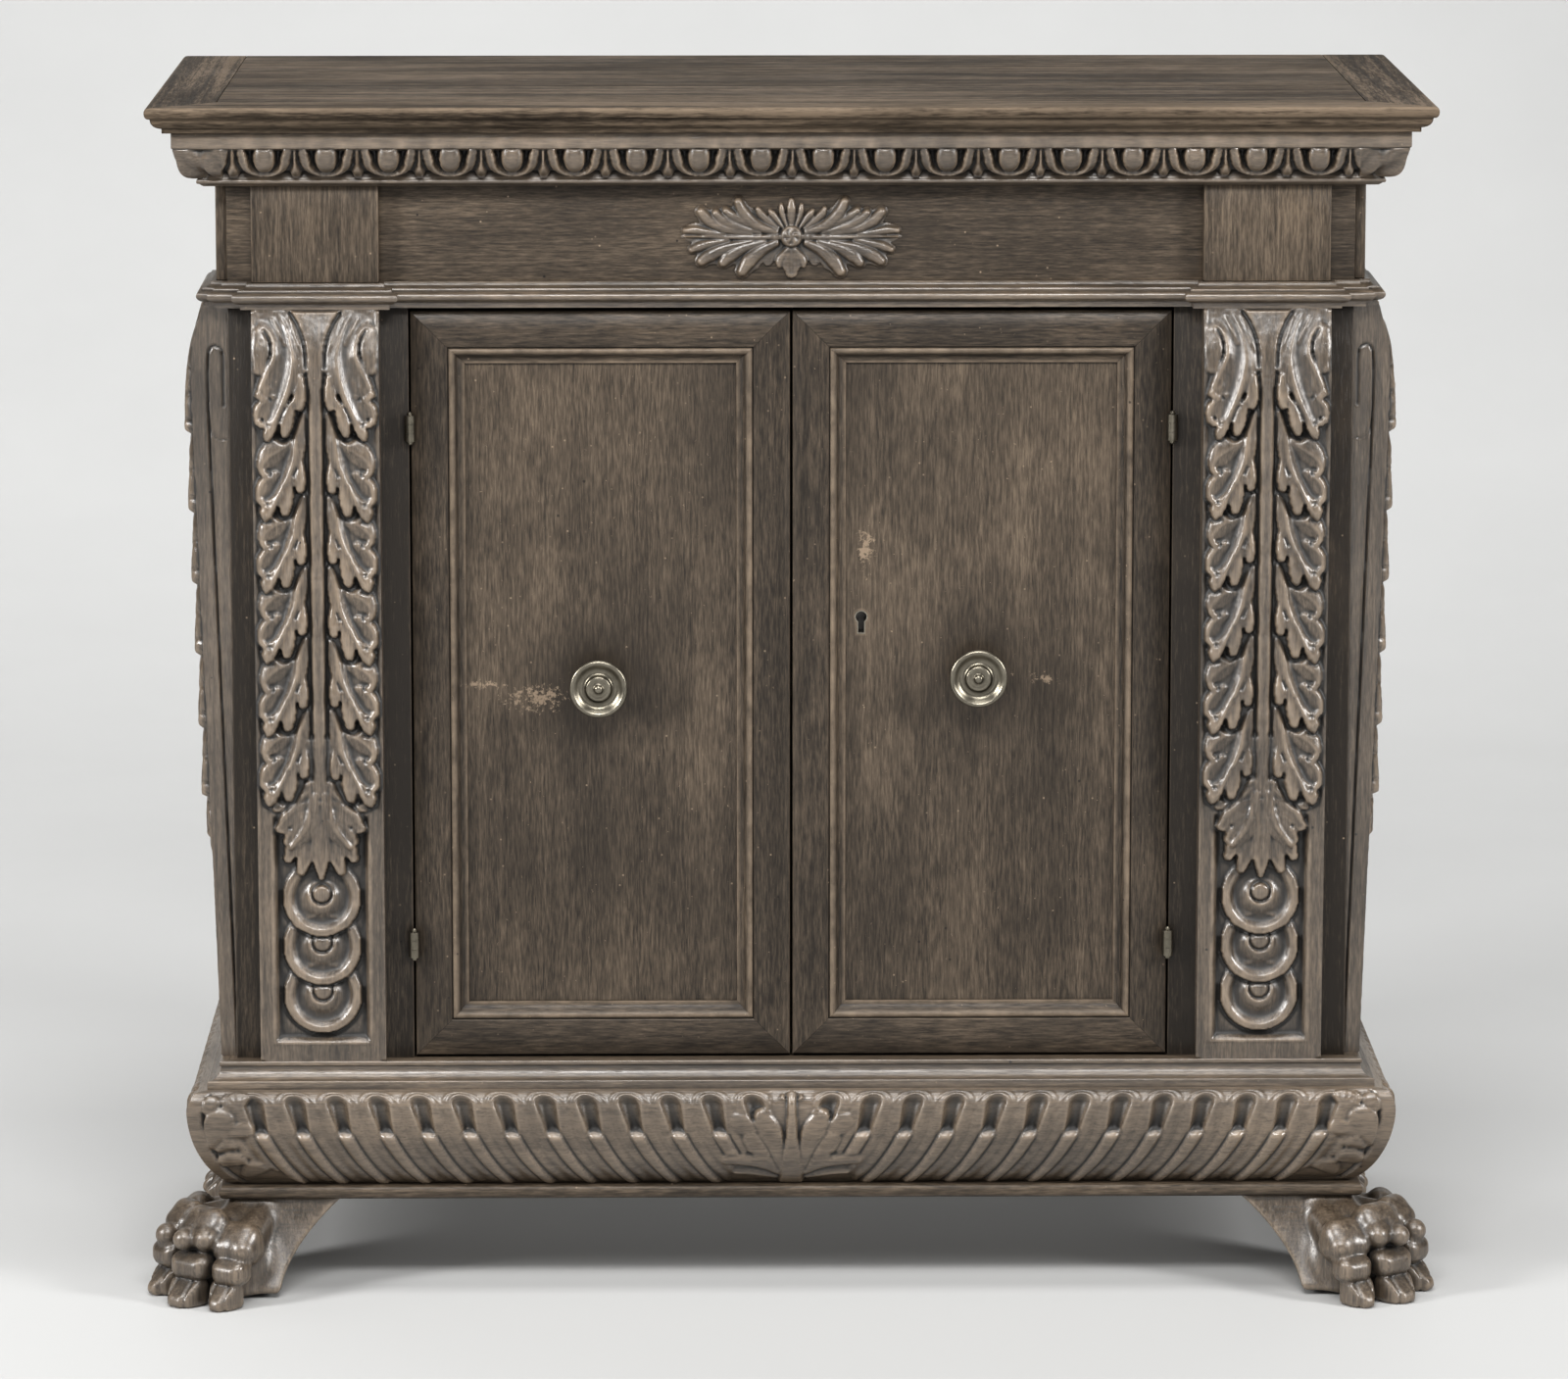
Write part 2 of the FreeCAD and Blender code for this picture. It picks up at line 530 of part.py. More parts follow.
# ------------------------------------------------------------------ doors
dl, dh, dt, fw = D["door_low"], D["door_high"], D["door_thick"], D["frame_w"]
beadw, beadd, gd, pt, ps = D["bead_w"], D["bead_drop"], D["groove_deep"], D["panel_thick"], D["panel_set"]
do, di = D["door_outer"], D["door_inner"]


def member(y_origin):
    """Section of a frame member: a = distance in from the door's edge, b = Y."""
    y0 = y_origin
    return [(q(0), y0), (fw - beadw, y0), (fw - beadw + 2, y0 + 2.5), (fw - 6, y0 + 3.5), (fw, y0 + beadd), (fw, y0 + ps - 0.2), (fw - gd, y0 + ps - 0.2),
            (fw - gd, y0 + ps + pt + 0.2), (fw, y0 + ps + pt + 0.2), (fw, y0 + dt), (q(0), y0 + dt)]


def door(name, sx):
    """sx -1 for the left door. Outer edge is the hinge edge."""
    outer, inner = do * sx, di * sx
    tall = dh - dl
    sgn = -sx                      # from the hinge edge towards the middle
    for label, edge, s in ((name + "_hinge_stile", outer, sgn), (name + "_meeting_stile", inner, -sgn)):
        b = prism(label, "XY_Plane", [(edge + s * a, y) for a, y in member(fp)], tall, (0, 0, dl))
        cut_through(b, "XZ_Plane", [
            [(edge, q(0)), (edge + s * (fw + 1), fw + 1), (edge + s * (fw + 1), q(-1)), (edge, q(-1))],
            [(edge, tall), (edge + s * (fw + 1), tall - fw - 1), (edge + s * (fw + 1), tall + 1), (edge, tall + 1)],
        ], "Mitre")
    x0 = outer if sx < 0 else inner
    width = do - di
    for label, zed, s in ((name + "_bottom_rail", dl, 1), (name + "_top_rail", dh, -1)):
        b = prism(label, "YZ_Plane", [(y, s * a) for a, y in member(fp)], width, (x0, 0, zed))
        cut_through(b, "XZ_Plane", [
            [(q(0), q(0)), (fw + 1, s * (fw + 1)), (q(-1), s * (fw + 1)), (q(-1), q(0))],
            [(width, q(0)), (width - fw - 1, s * (fw + 1)), (width + 1, s * (fw + 1)), (width + 1, q(0))],
        ], "Mitre")
    # panel in the groove, 1 mm short of the groove's floor all round
    e = fw - gd + 1
    lo_x, hi_x = (outer + e, inner - e) if sx < 0 else (inner + e, outer - e)
    b = prism(name + "_panel", "XZ_Plane", [(lo_x, dl + e), (hi_x, dl + e), (hi_x, dh - e), (lo_x, dh - e)], pt, (0, fp + ps + pt, 0))
    return b


left_panel = door("left_door", -1)
right_panel = door("right_door", 1)
kx, kz, kr, ks, kd = D["key_x"], D["key_z"], D["key_rad"], D["key_slot"], D["key_drop"]
klx, klz, krx, krz = D["knob_left_x"], D["knob_left_z"], D["knob_right_x"], D["knob_right_z"]
shole = D["spindle_hole"]
cut_through(left_panel, "XZ_Plane", [("circle", (klx, klz), shole)], "Spindle")
cut_through(right_panel, "XZ_Plane", [("circle", (krx, krz), shole)], "Spindle")


def keyhole(r, s, drop, n=14):
    """Round head with a straight slot below it, as a polygon round (key_x, key_z)."""
    a_end = math.asin(min(1.0, s.v / r.v))
    pts = []
    for i in range(n + 1):
        t = -math.pi / 2 + a_end + (2 * math.pi - 2 * a_end) * i / n
        pts.append((kx + r * math.cos(t), kz + r * math.sin(t)))
    pts += [(kx - s, kz - drop), (kx + s, kz - drop)]
    return pts


lt = D["lining_thick"]
cut_through(right_panel, "XZ_Plane", [keyhole(kr + lt, ks + lt, kd + lt)], "Keyhole")
lining = prism("keyhole_lining", "XZ_Plane", keyhole(kr + lt - 0.02, ks + lt - 0.02, kd + lt - 0.02), pt + 0.6, (0, fp + ps + pt, 0))
cut_through(lining, "XZ_Plane", [keyhole(kr, ks, kd)], "Hole")

# ------------------------------------------------------------------ hinges
hx, hy, hr, hb, hp = D["hinge_x"], D["hinge_y"], D["knuckle_rad"], D["knuckle_bore"], D["hinge_pin_rad"]
hth, lft = D["hinge_tall"], D["leaf_thick"]


def tube(name, x, y, z, r, bore, tall):
    outer = doc.addObject("Part::Cylinder", name + "_outer")
    outer.setExpression("Radius", r.s)
    outer.setExpression("Height", q(tall).s)
    place(outer, x, y, z)
    inner = doc.addObject("Part::Cylinder", name + "_bore")
    inner.setExpression("Radius", bore.s)
    inner.setExpression("Height", (q(tall) + 2).s)
    place(inner, x, y, z - 1)
    return outer, inner


def hinge_leaf(label, sx, z0, spans, leaf_lo, leaf_hi):
    """Knuckle tubes on one leaf: the leaf plate runs back from the knuckles into the gap beside the door."""
    name = unique(label) + "_"
    solids, bores = [], []
    for i, (za, zb) in enumerate(spans):
        t_outer, t_bore = tube("%sk%d" % (name, i), hx * sx, hy, z0 + za, hr, hb, zb - za)
        solids.append(t_outer)
        bores.append(t_bore)
        solids.append(box("%st%d" % (name, i), leaf_lo, leaf_hi, hy + 3.2, hy + 6, z0 + za, z0 + zb, hold=False))
    solids.append(box(name + "plate", leaf_lo, leaf_hi, hy + 5.4, hy + 24, z0, z0 + hth, hold=False))
    fuse = doc.addObject("Part::MultiFuse", name + "fused")
    fuse.Shapes = solids
    holes = doc.addObject("Part::MultiFuse", name + "bores") if len(bores) > 1 else bores[0]
    if len(bores) > 1:
        holes.Shapes = bores
    cut = doc.addObject("Part::Cut", unique(label))
    cut.Label = unique(label)
    cut.Base = fuse
    cut.Tool = holes
    return keep(label, cut)


for sx, name in ((-1, "left"), (1, "right")):
    for zc in (D["hinge_hi"], D["hinge_lo"]):
        z0 = zc - hth / 2
        # leaf on the jamb
        lo, hi = sorted((jh * sx, jh * sx - sx * lft), key=lambda t: t.v)
        hinge_leaf("hinge_frame_leaves", sx, z0, ((q(0), q(7)), (q(15), hth)), lo, hi)
        lo, hi = sorted((do * sx, do * sx + sx * lft), key=lambda t: t.v)
        hinge_leaf(name + "_door_hinge_leaves", sx, z0, ((q(7.2), q(14.8)),), lo, hi)
        b = new_body("hinge_pins")
        sk = sketch(b, "XZ_Plane", "Half")
        outline(sk, [(q(0), q(-3.2)), (q(1.4), q(-3.0)), (q(2.4), q(-2.0)), (q(2.4), q(-0.3)), (hp, q(-0.2)), (hp, hth + 0.2), (q(2.4), hth + 0.3),
                     (q(2.4), hth + 2), (q(1.4), hth + 3), (q(0), hth + 3.2)])
        rev = b.newObject("PartDesign::Revolution", b.Name + "_Turn")
        rev.Profile = sk
        rev.ReferenceAxis = (sk, ["V_Axis"])
        rev.Angle = 360.0
        b.Tip = rev
        place(b, hx * sx, hy, z0)

# ------------------------------------------------------------------ knobs
kn, kre, spr_ = D["knob_rad"], D["knob_reach"], D["spindle_rad"]


def knob(label, nut_label, x, z):
    """Turned pull on a spindle through the panel, held by a nut inside. Local +y of the half-section is outwards."""
    b = new_body(label)
    sk = sketch(b, "XY_Plane", "Half")
    face = fp + ps                       # panel's front face
    # half-section in (radius, -Y) measured from the panel's face
    pts = [(q(0), q(-20)), (spr_, q(-20)), (spr_, q(0)), (q(14), q(0)), (q(14), q(2)), (q(10), q(4)), (q(7.5), q(8)), (q(7), q(14)), (q(11), q(18.5)),
           (kn - 2, q(21)), (kn, q(23)), (kn, q(25.5)), (kn - 2.5, q(27.5)), (kn - 5.5, q(27)), (kn - 7.5, q(25)), (q(12.5), q(25)), (q(11), q(28)), (q(8.5), q(29.5)),
           (q(7.5), q(28.5)), (q(5), q(29)), (q(4), kre - 1.5), (q(2), kre), (q(0), kre)]
    outline(sk, pts)
    rev = b.newObject("PartDesign::Revolution", b.Name + "_Turn")
    rev.Profile = sk
    rev.ReferenceAxis = (sk, ["V_Axis"])
    rev.Angle = 360.0
    b.Tip = rev
    b.Placement = FreeCAD.Placement(V(x.v, face.v, z.v), FreeCAD.Rotation(V(0, 0, 1), 180))
    place(b, x, face, z)
    # square nut on the inside, bored a hair larger than the spindle
    nb = new_body(nut_label)
    pad(nb, outline(sketch(nb, "XZ_Plane"), [(q(-9), q(-9)), (q(9), q(-9)), (q(9), q(9)), (q(-9), q(9))]), 5)
    cut_through(nb, "XZ_Plane", [("circle", (q(0), q(0)), shole)], "Bore")
    place(nb, x, fp + ps + pt + 5, z)


knob("left_knob", "left_knob_nut", klx, klz)
knob("right_knob", "right_knob_nut", krx, krz)

# ------------------------------------------------------------------ lock on the right door
lkx, lkw, lkh, lkd, lkwall = D["lock_x"], D["lock_w"], D["lock_h"], D["lock_deep"], D["lock_wall"]
by = fp + dt                               # back face of the door frames
lz0 = kz - lkh / 2 - 6
case = prism("lock_case", "XZ_Plane", [(lkx, lz0), (lkx + lkw, lz0), (lkx + lkw, lz0 + lkh), (lkx, lz0 + lkh)], lkd, (0, by + lkd, 0))
blw, blh, blt = D["bolt_w"], D["bolt_h"], D["bolt_thick"]
# the case's hollow, with the bolt's way out through the edge towards the left door
inner_box = box("lock_hollow", lkx + lkwall, lkx + lkw - lkwall, by - 1, by + lkd - lkwall, lz0 + lkwall, lz0 + lkh - lkwall, hold=False)
bolt_y0 = by + 4
bolt_z0 = kz - 30
slot = box("lock_slot", lkx - 1, lkx + lkwall + 1, bolt_y0 - 0.3, bolt_y0 + blt + 0.3, bolt_z0 - 0.3, bolt_z0 + blh + 0.3, hold=False)
doc.recompute()
hollow = doc.addObject("Part::MultiFuse", "lock_hollow_all")
hollow.Shapes = [inner_box, slot]
cut = doc.addObject("Part::Cut", "lock_case_shell")
cut.Base = case
cut.Tool = hollow
nodes["lock_case"] = [cut]
cut.Label = "lock_case_shell"
bolt = prism("lock_bolt", "XZ_Plane", [(lkx - 2, bolt_z0), (lkx - 2 + blw, bolt_z0), (lkx - 2 + blw, bolt_z0 + blh), (lkx - 2 + blw - 20, bolt_z0 + blh), (lkx - 2 + blw - 22, bolt_z0 + blh - 5),
                                       (lkx - 2 + blw - 28, bolt_z0 + blh - 5), (lkx - 2 + blw - 30, bolt_z0 + blh), (lkx - 2, bolt_z0 + blh)], blt, (0, bolt_y0 + blt, 0))
# keeper on the back of the left door's meeting stile
keeper = prism("bolt_keeper", "XZ_Plane", [(q(-24), bolt_z0 - 6), (q(-3), bolt_z0 - 6), (q(-3), bolt_z0 + blh + 6), (q(-24), bolt_z0 + blh + 6)], 14, (0, by + 14, 0))
doc.recompute()
keeper_hole = box("keeper_hole", q(-25), q(-2), bolt_y0 - 0.8, bolt_y0 + blt + 0.8, bolt_z0 - 0.8, bolt_z0 + blh + 0.8, hold=False)
kc = doc.addObject("Part::Cut", "bolt_keeper_cut")
kc.Base = keeper
kc.Tool = keeper_hole
nodes["bolt_keeper"] = [kc]

# ------------------------------------------------------------------ slide bolt inside the left door
rx, ry, rr, rhole, rlow, rhigh = D["rod_x"], D["rod_y"], D["rod_rad"], D["rod_hole"], D["rod_low"], D["rod_high"]
rod = doc.addObject("Part::Cylinder", "slide_rod")
rod.setExpression("Radius", rr.s)
rod.setExpression("Height", (rhigh - rlow).s)
place(rod, rx, ry, rlow)
grip = doc.addObject("Part::Cylinder", "slide_grip")
grip.Radius = 2.2
grip.Height = 16
grip.Placement = FreeCAD.Placement(V(rx.v, ry.v, rlow.v + 40), FreeCAD.Rotation(V(1, 0, 0), -90))
ball = doc.addObject("Part::Sphere", "slide_ball")
ball.Radius = 4.5
ball.Placement = FreeCAD.Placement(V(rx.v, ry.v + 17, rlow.v + 40), FreeCAD.Rotation())
sb = doc.addObject("Part::MultiFuse", "slide_bolt")
sb.Label = "slide_bolt"
sb.Shapes = [rod, grip, ball]
keep("slide_bolt", sb)
for zc in (rlow + 12, rlow + 76):
    name = unique("slide_bolt_staples")
    blk = box(name + "_block", rx - 7, rx + 7, by, ry + 6, zc - 5, zc + 5, hold=False)
    hole = doc.addObject("Part::Cylinder", name + "_hole")
    hole.setExpression("Radius", rhole.s)
    hole.Height = 20
    place(hole, rx, ry, zc - 10)
    c = doc.addObject("Part::Cut", name)
    c.Label = name
    c.Base = blk
    c.Tool = hole
    keep("slide_bolt_staples", c)

# ------------------------------------------------------------------ check and write
doc.recompute()
bad = [o.Name for o in doc.Objects if "Invalid" in o.State or "Error" in o.State]
if bad:
    raise SystemExit("failed objects: %s" % bad)
for stale in os.listdir("parts"):
    if stale.endswith(".step") and stale[:-5] not in nodes:
        os.remove(os.path.join("parts", stale))
total = Part.Compound([])
for label, objs in sorted(nodes.items()):
    shapes = []
    for o in objs:
        s = o.Shape
        if s.isNull() or not s.isValid():
            raise SystemExit("bad shape: " + o.Name)
        shapes += s.Solids
    if not shapes:
        raise SystemExit("no solid: " + label)
    shape = shapes[0] if len(shapes) == 1 else Part.Compound(shapes)
    shape.exportStep("parts/%s.step" % label)
    bb = shape.optimalBoundingBox(False)
    print("%-28s solids %d  vol %.0f  x %.1f..%.1f y %.1f..%.1f z %.1f..%.1f" % (label, len(shapes), sum(s.Volume for s in shapes), bb.XMin, bb.XMax, bb.YMin, bb.YMax, bb.ZMin, bb.ZMax))
    total.add(shape)
bb = total.optimalBoundingBox(False)
print("nodes", len(nodes), "box", bb)
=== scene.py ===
import math
import bpy
import bmesh
import numpy as np
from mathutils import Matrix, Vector


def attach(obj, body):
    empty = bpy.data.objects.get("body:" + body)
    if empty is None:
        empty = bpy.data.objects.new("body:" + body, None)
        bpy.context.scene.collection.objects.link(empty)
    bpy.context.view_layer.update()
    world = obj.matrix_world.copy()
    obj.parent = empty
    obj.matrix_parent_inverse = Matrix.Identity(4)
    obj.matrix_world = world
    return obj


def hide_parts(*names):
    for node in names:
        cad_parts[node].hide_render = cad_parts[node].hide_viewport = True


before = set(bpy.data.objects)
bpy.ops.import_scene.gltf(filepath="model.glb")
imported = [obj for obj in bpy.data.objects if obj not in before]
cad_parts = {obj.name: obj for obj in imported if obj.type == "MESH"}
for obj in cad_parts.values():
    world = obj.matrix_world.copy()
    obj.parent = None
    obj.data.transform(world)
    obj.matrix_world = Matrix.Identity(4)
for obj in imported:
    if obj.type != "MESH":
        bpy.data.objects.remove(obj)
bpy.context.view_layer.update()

RNG = np.random.default_rng(41)

# Main planes of the case, in millimetres
FP, CH, BACK = -158.0, 470.0, 236.0          # front of the stiles, half width of the case, back face
BI, BO = 343.0, 449.0                        # frieze block and pilaster, inner and outer edge
SPF, SPW, SPR = -150.0, 100.0, 122.0         # side pilasters: front one's edge, width, rear one's edge


# ---------------------------------------------------------------------------------------------- small tools
def smooth(t):
    t = np.clip(t, 0.0, 1.0)
    return t * t * (3 - 2 * t)


def lattice(seed):
    return np.random.default_rng(seed).random((64, 64)) * 2 - 1


def noise2(x, y, seed):
    """Smooth value noise, one unit per cell, in -1..1."""
    g = lattice(seed)
    xi, yi = np.floor(x).astype(int), np.floor(y).astype(int)
    fx, fy = smooth(x - xi), smooth(y - yi)
    a, b = g[yi % 64, xi % 64], g[yi % 64, (xi + 1) % 64]
    c, d = g[(yi + 1) % 64, xi % 64], g[(yi + 1) % 64, (xi + 1) % 64]
    return (a * (1 - fx) + b * fx) * (1 - fy) + (c * (1 - fx) + d * fx) * fy


def blur(h, r):
    """Three box passes of half-width r cells."""
    r = int(round(r))
    if r < 1:
        return h
    for axis in (0, 1):
        for _ in range(3):
            pad = [(0, 0), (0, 0)]
            pad[axis] = (r + 1, r)
            c = np.cumsum(np.pad(h, pad, mode="edge"), axis=axis)
            n = h.shape[axis]
            hi = np.take(c, np.arange(2 * r + 1, 2 * r + 1 + n), axis=axis)
            lo = np.take(c, np.arange(0, n), axis=axis)
            h = (hi - lo) / (2 * r + 1)
    return h


def soften(h):
    """A light three-point blur that takes the stair steps off carved edges."""
    p = np.pad(h, 1, mode="edge")
    h = (p[:-2, 1:-1] + 2 * p[1:-1, 1:-1] + p[2:, 1:-1]) / 4
    p = np.pad(h, 1, mode="edge")
    return (p[1:-1, :-2] + 2 * p[1:-1, 1:-1] + p[1:-1, 2:]) / 4


def cavity(h, cell, fine=1.6, broad=7.0):
    """Hollows negative, crests positive, from a height field in millimetres."""
    a = (h - blur(h, fine / cell)) / 0.8
    b = (h - blur(h, broad / cell)) / 3.0
    return np.clip(0.6 * a + 0.4 * b, -1, 1)


def curve_points(pts, n=20):
    """Catmull-Rom through the points."""
    p = np.asarray(pts, float)
    if len(p) == 2:
        t = np.linspace(0, 1, n)[:, None]
        return p[0] * (1 - t) + p[1] * t
    e = np.vstack([2 * p[0] - p[1], p, 2 * p[-1] - p[-2]])
    out = []
    m = len(p) - 1
    for k in range(n):
        s = k / (n - 1) * m
        i = min(int(s), m - 1)
        t = s - i
        a, b, c, d = e[i], e[i + 1], e[i + 2], e[i + 3]
        out.append(0.5 * ((2 * b) + (c - a) * t + (2 * a - 5 * b + 4 * c - d) * t * t + (3 * b - a - 3 * c + d) * t ** 3))
    return np.array(out)


class Field:
    """A height field on a regular grid: u across, w up, both in millimetres."""

    def __init__(self, u0, u1, w0, w1, cell, start=0.0):
        self.u = np.linspace(u0, u1, max(2, int(round((u1 - u0) / cell)) + 1))
        self.w = np.linspace(w0, w1, max(2, int(round((w1 - w0) / cell)) + 1))
        self.cell = cell
        self.U, self.W = np.meshgrid(self.u, self.w)
        self.H = np.full(self.U.shape, float(start))

    def window(self, pts, r):
        lo, hi = np.min(pts, 0) - r, np.max(pts, 0) + r
        i0, i1 = np.searchsorted(self.w, (lo[1], hi[1]))
        j0, j1 = np.searchsorted(self.u, (lo[0], hi[0]))
        return slice(max(i0 - 1, 0), i1 + 1), slice(max(j0 - 1, 0), j1 + 1)

    def near(self, pts, r):
        """Distance to a polyline, place along it (0..1) and side, inside a window."""
        sl = self.window(pts, r)
        U, W = self.U[sl], self.W[sl]
        best = np.full(U.shape, 1e18)
        t_best = np.zeros(U.shape)
        s_best = np.zeros(U.shape)
        n = len(pts) - 1
        for i in range(n):
            a, d = pts[i], pts[i + 1] - pts[i]
            l2 = max(d @ d, 1e-12)
            t = np.clip(((U - a[0]) * d[0] + (W - a[1]) * d[1]) / l2, 0, 1)
            du, dw = U - a[0] - t * d[0], W - a[1] - t * d[1]
            q = du * du + dw * dw
            m = q < best
            best = np.where(m, q, best)
            t_best = np.where(m, (i + t) / n, t_best)
            s_best = np.where(m, np.sign(d[0] * dw - d[1] * du), s_best)
        return sl, np.sqrt(best), t_best, s_best

    def tongue(self, pts, widths, bases, crown=1.5, groove=0.0, gw=0.4, power=0.6, tilt=0.0):
        """A lobe along a curve; overlays what lies lower."""
        p = curve_points(pts)
        sl, d, t, s = self.near(p, max(widths) + 1)
        w = np.interp(t, np.linspace(0, 1, len(widths)), widths)
        b = np.interp(t, np.linspace(0, 1, len(bases)), bases)
        q = d / np.maximum(w, 1e-3)
        inside = q < 1
        qq = np.clip(q, 0, 1)
        h = b + crown * (1 - qq * qq) ** power - groove * np.exp(-((qq / gw) ** 2)) + tilt * s * qq
        self.H[sl] = np.where(inside, np.maximum(self.H[sl], h), self.H[sl])

    def lip(self, pts, heights, wl, wr, fl, fr, pl=1.3, pr=1.3):
        """A crest along a curve with its own slope to the left and right of the walk; overlays what lies lower.
        wl, wr: reach of each slope, fl, fr: its fall over that reach."""
        p = curve_points(pts, 26)
        sl, d, t, s = self.near(p, max(max(wl), max(wr)) + 1)

        def along(v):
            return np.interp(t, np.linspace(0, 1, len(v)), v)
        left = s > 0
        q = d / np.maximum(np.where(left, along(wl), along(wr)), 1e-3)
        h = along(heights) - np.where(left, along(fl), along(fr)) * np.clip(q, 0, 1) ** np.where(left, pl, pr)
        self.H[sl] = np.where(q < 1, np.maximum(self.H[sl], h), self.H[sl])

    def line(self, pts, width, depth):
        """A cut (depth > 0) or raised (depth < 0) line along a curve."""
        p = curve_points(pts)
        sl, d, t, s = self.near(p, width * 3)
        self.H[sl] -= depth * np.exp(-((d / width) ** 2))

    def pit(self, at, r, depth):
        p = np.array([at, (at[0] + 1e-3, at[1])])
        sl, d, t, s = self.near(p, r * 2.5)
        self.H[sl] -= depth * np.exp(-((d / r) ** 2))


# ---------------------------------------------------------------------------------------------- meshes
GRAIN = {"x": (0, 1, 2), "y": (1, 0, 2), "z": (2, 0, 1)}


class Build:
    """Gathers vertices and faces, with per-corner wear and per-vertex wood coordinates, in millimetres."""

    def __init__(self, name):
        self.name = name
        self.v, self.f, self.cav, self.wood, self.tone = [], [], [], [], []
        self.n = 0

    def add(self, verts, faces, cav=0.0, grain="z", seed=None, tone=0.0, face_cav=None, weld=False):
        """faces: arrays of equal-length rows, or a list of index lists. cav: number or one per vertex.
        weld joins points that share a place and drops faces that close up."""
        verts = np.asarray(verts, float).reshape(-1, 3)
        groups = faces if isinstance(faces, (list, tuple)) else [faces]
        cav = np.broadcast_to(np.asarray(cav, float), (len(verts),))
        if weld:
            key = np.round(verts / 1e-4).astype(np.int64)
            _, first, inverse = np.unique(key, axis=0, return_index=True, return_inverse=True)
            inverse = inverse.ravel()
            verts, cav = verts[first], cav[first]
            kept = []
            for g in groups:
                rows = inverse[g] if isinstance(g, np.ndarray) else inverse[np.array([g])]
                nxt = np.roll(rows, -1, axis=1)
                clean = (rows != nxt).all(1)
                if clean.any():
                    kept.append(rows[clean])
                for row in rows[~clean]:
                    short = [a for a, c in zip(row, np.roll(row, -1)) if a != c]
                    if len(set(short)) >= 3:
                        kept.append(short)
            groups = kept
        k = len(verts)
        flat = []
        for g in groups:
            if isinstance(g, np.ndarray) and g.ndim == 2:
                flat.append(g + self.n)
            else:
                flat.append([int(i) + self.n for i in g])
        # turn the shell the right way out
        vol = 0.0
        c = verts.mean(0)
        for g in flat:
            rows = g if isinstance(g, np.ndarray) else np.array([g])
            p = verts[rows - self.n] - c
            for j in range(1, p.shape[1] - 1):
                vol += np.einsum("ij,ij->i", p[:, 0], np.cross(p[:, j], p[:, j + 1])).sum()
        if vol < 0:
            flat = [g[:, ::-1] if isinstance(g, np.ndarray) else g[::-1] for g in flat]
        self.v.append(verts)
        self.f += flat
        self.cav.append(np.broadcast_to(np.asarray(cav, float), (k,)))
        self.face_cav = getattr(self, "face_cav", [])
        if face_cav is None:
            self.face_cav += [None] * len(flat)
        else:
            self.face_cav += list(face_cav)
        r = np.random.default_rng(int(seed if seed is not None else abs(hash_name(self.name)) + self.n))
        order = GRAIN[grain]
        w = verts[:, order] * 0.001 + r.uniform(-40, 40, 3)
        self.wood.append(w)
        self.tone.append(np.full(k, tone + r.uniform(-0.05, 0.05)))
        self.n += k
        return self

    def object(self, body, mat, slot, replaces=(), sharp=38.0):
        me = bpy.data.meshes.new(self.name)
        v = np.concatenate(self.v) * 0.001
        me.vertices.add(len(v))
        me.vertices.foreach_set("co", v.astype(np.float32).ravel())
        idx, tot, corner = [], [], []
        cav = np.concatenate(self.cav)
        for g, fc in zip(self.f, self.face_cav):
            rows = g if isinstance(g, np.ndarray) else np.array([g])
            idx.append(rows.ravel())
            tot.append(np.full(len(rows), rows.shape[1]))
            corner.append(cav[rows.ravel()] if fc is None else np.full(rows.size, float(fc)))
        idx, tot, corner = np.concatenate(idx), np.concatenate(tot), np.concatenate(corner)
        me.loops.add(len(idx))
        me.loops.foreach_set("vertex_index", idx.astype(np.int32))
        me.polygons.add(len(tot))
        start = np.concatenate([[0], np.cumsum(tot)[:-1]])
        me.polygons.foreach_set("loop_start", start.astype(np.int32))
        me.update(calc_edges=True)
        me.polygons.foreach_set("use_smooth", np.ones(len(tot), bool))
        a = me.attributes.new("wood", "FLOAT_VECTOR", "POINT")
        a.data.foreach_set("vector", np.concatenate(self.wood).astype(np.float32).ravel())
        a = me.attributes.new("cav", "FLOAT", "CORNER")
        a.data.foreach_set("value", corner.astype(np.float32))
        a = me.attributes.new("tone", "FLOAT", "POINT")
        a.data.foreach_set("value", np.concatenate(self.tone).astype(np.float32))
        me.set_sharp_from_angle(angle=math.radians(sharp))
        me.materials.append(mat)
        o = bpy.data.objects.new(self.name, me)
        bpy.context.scene.collection.objects.link(o)
        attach(o, body)
        if replaces:
            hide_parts(*replaces)
        return o


def hash_name(s):
    h = 2166136261
    for ch in s:
        h = (h ^ ord(ch)) * 16777619 % (1 << 32)
    return h


def grid_faces(rows, cols, base=0):
    i, j = np.meshgrid(np.arange(rows - 1), np.arange(cols - 1), indexing="ij")
    a = (i * cols + j).ravel() + base
    return np.stack([a, a + 1, a + cols + 1, a + cols], 1)


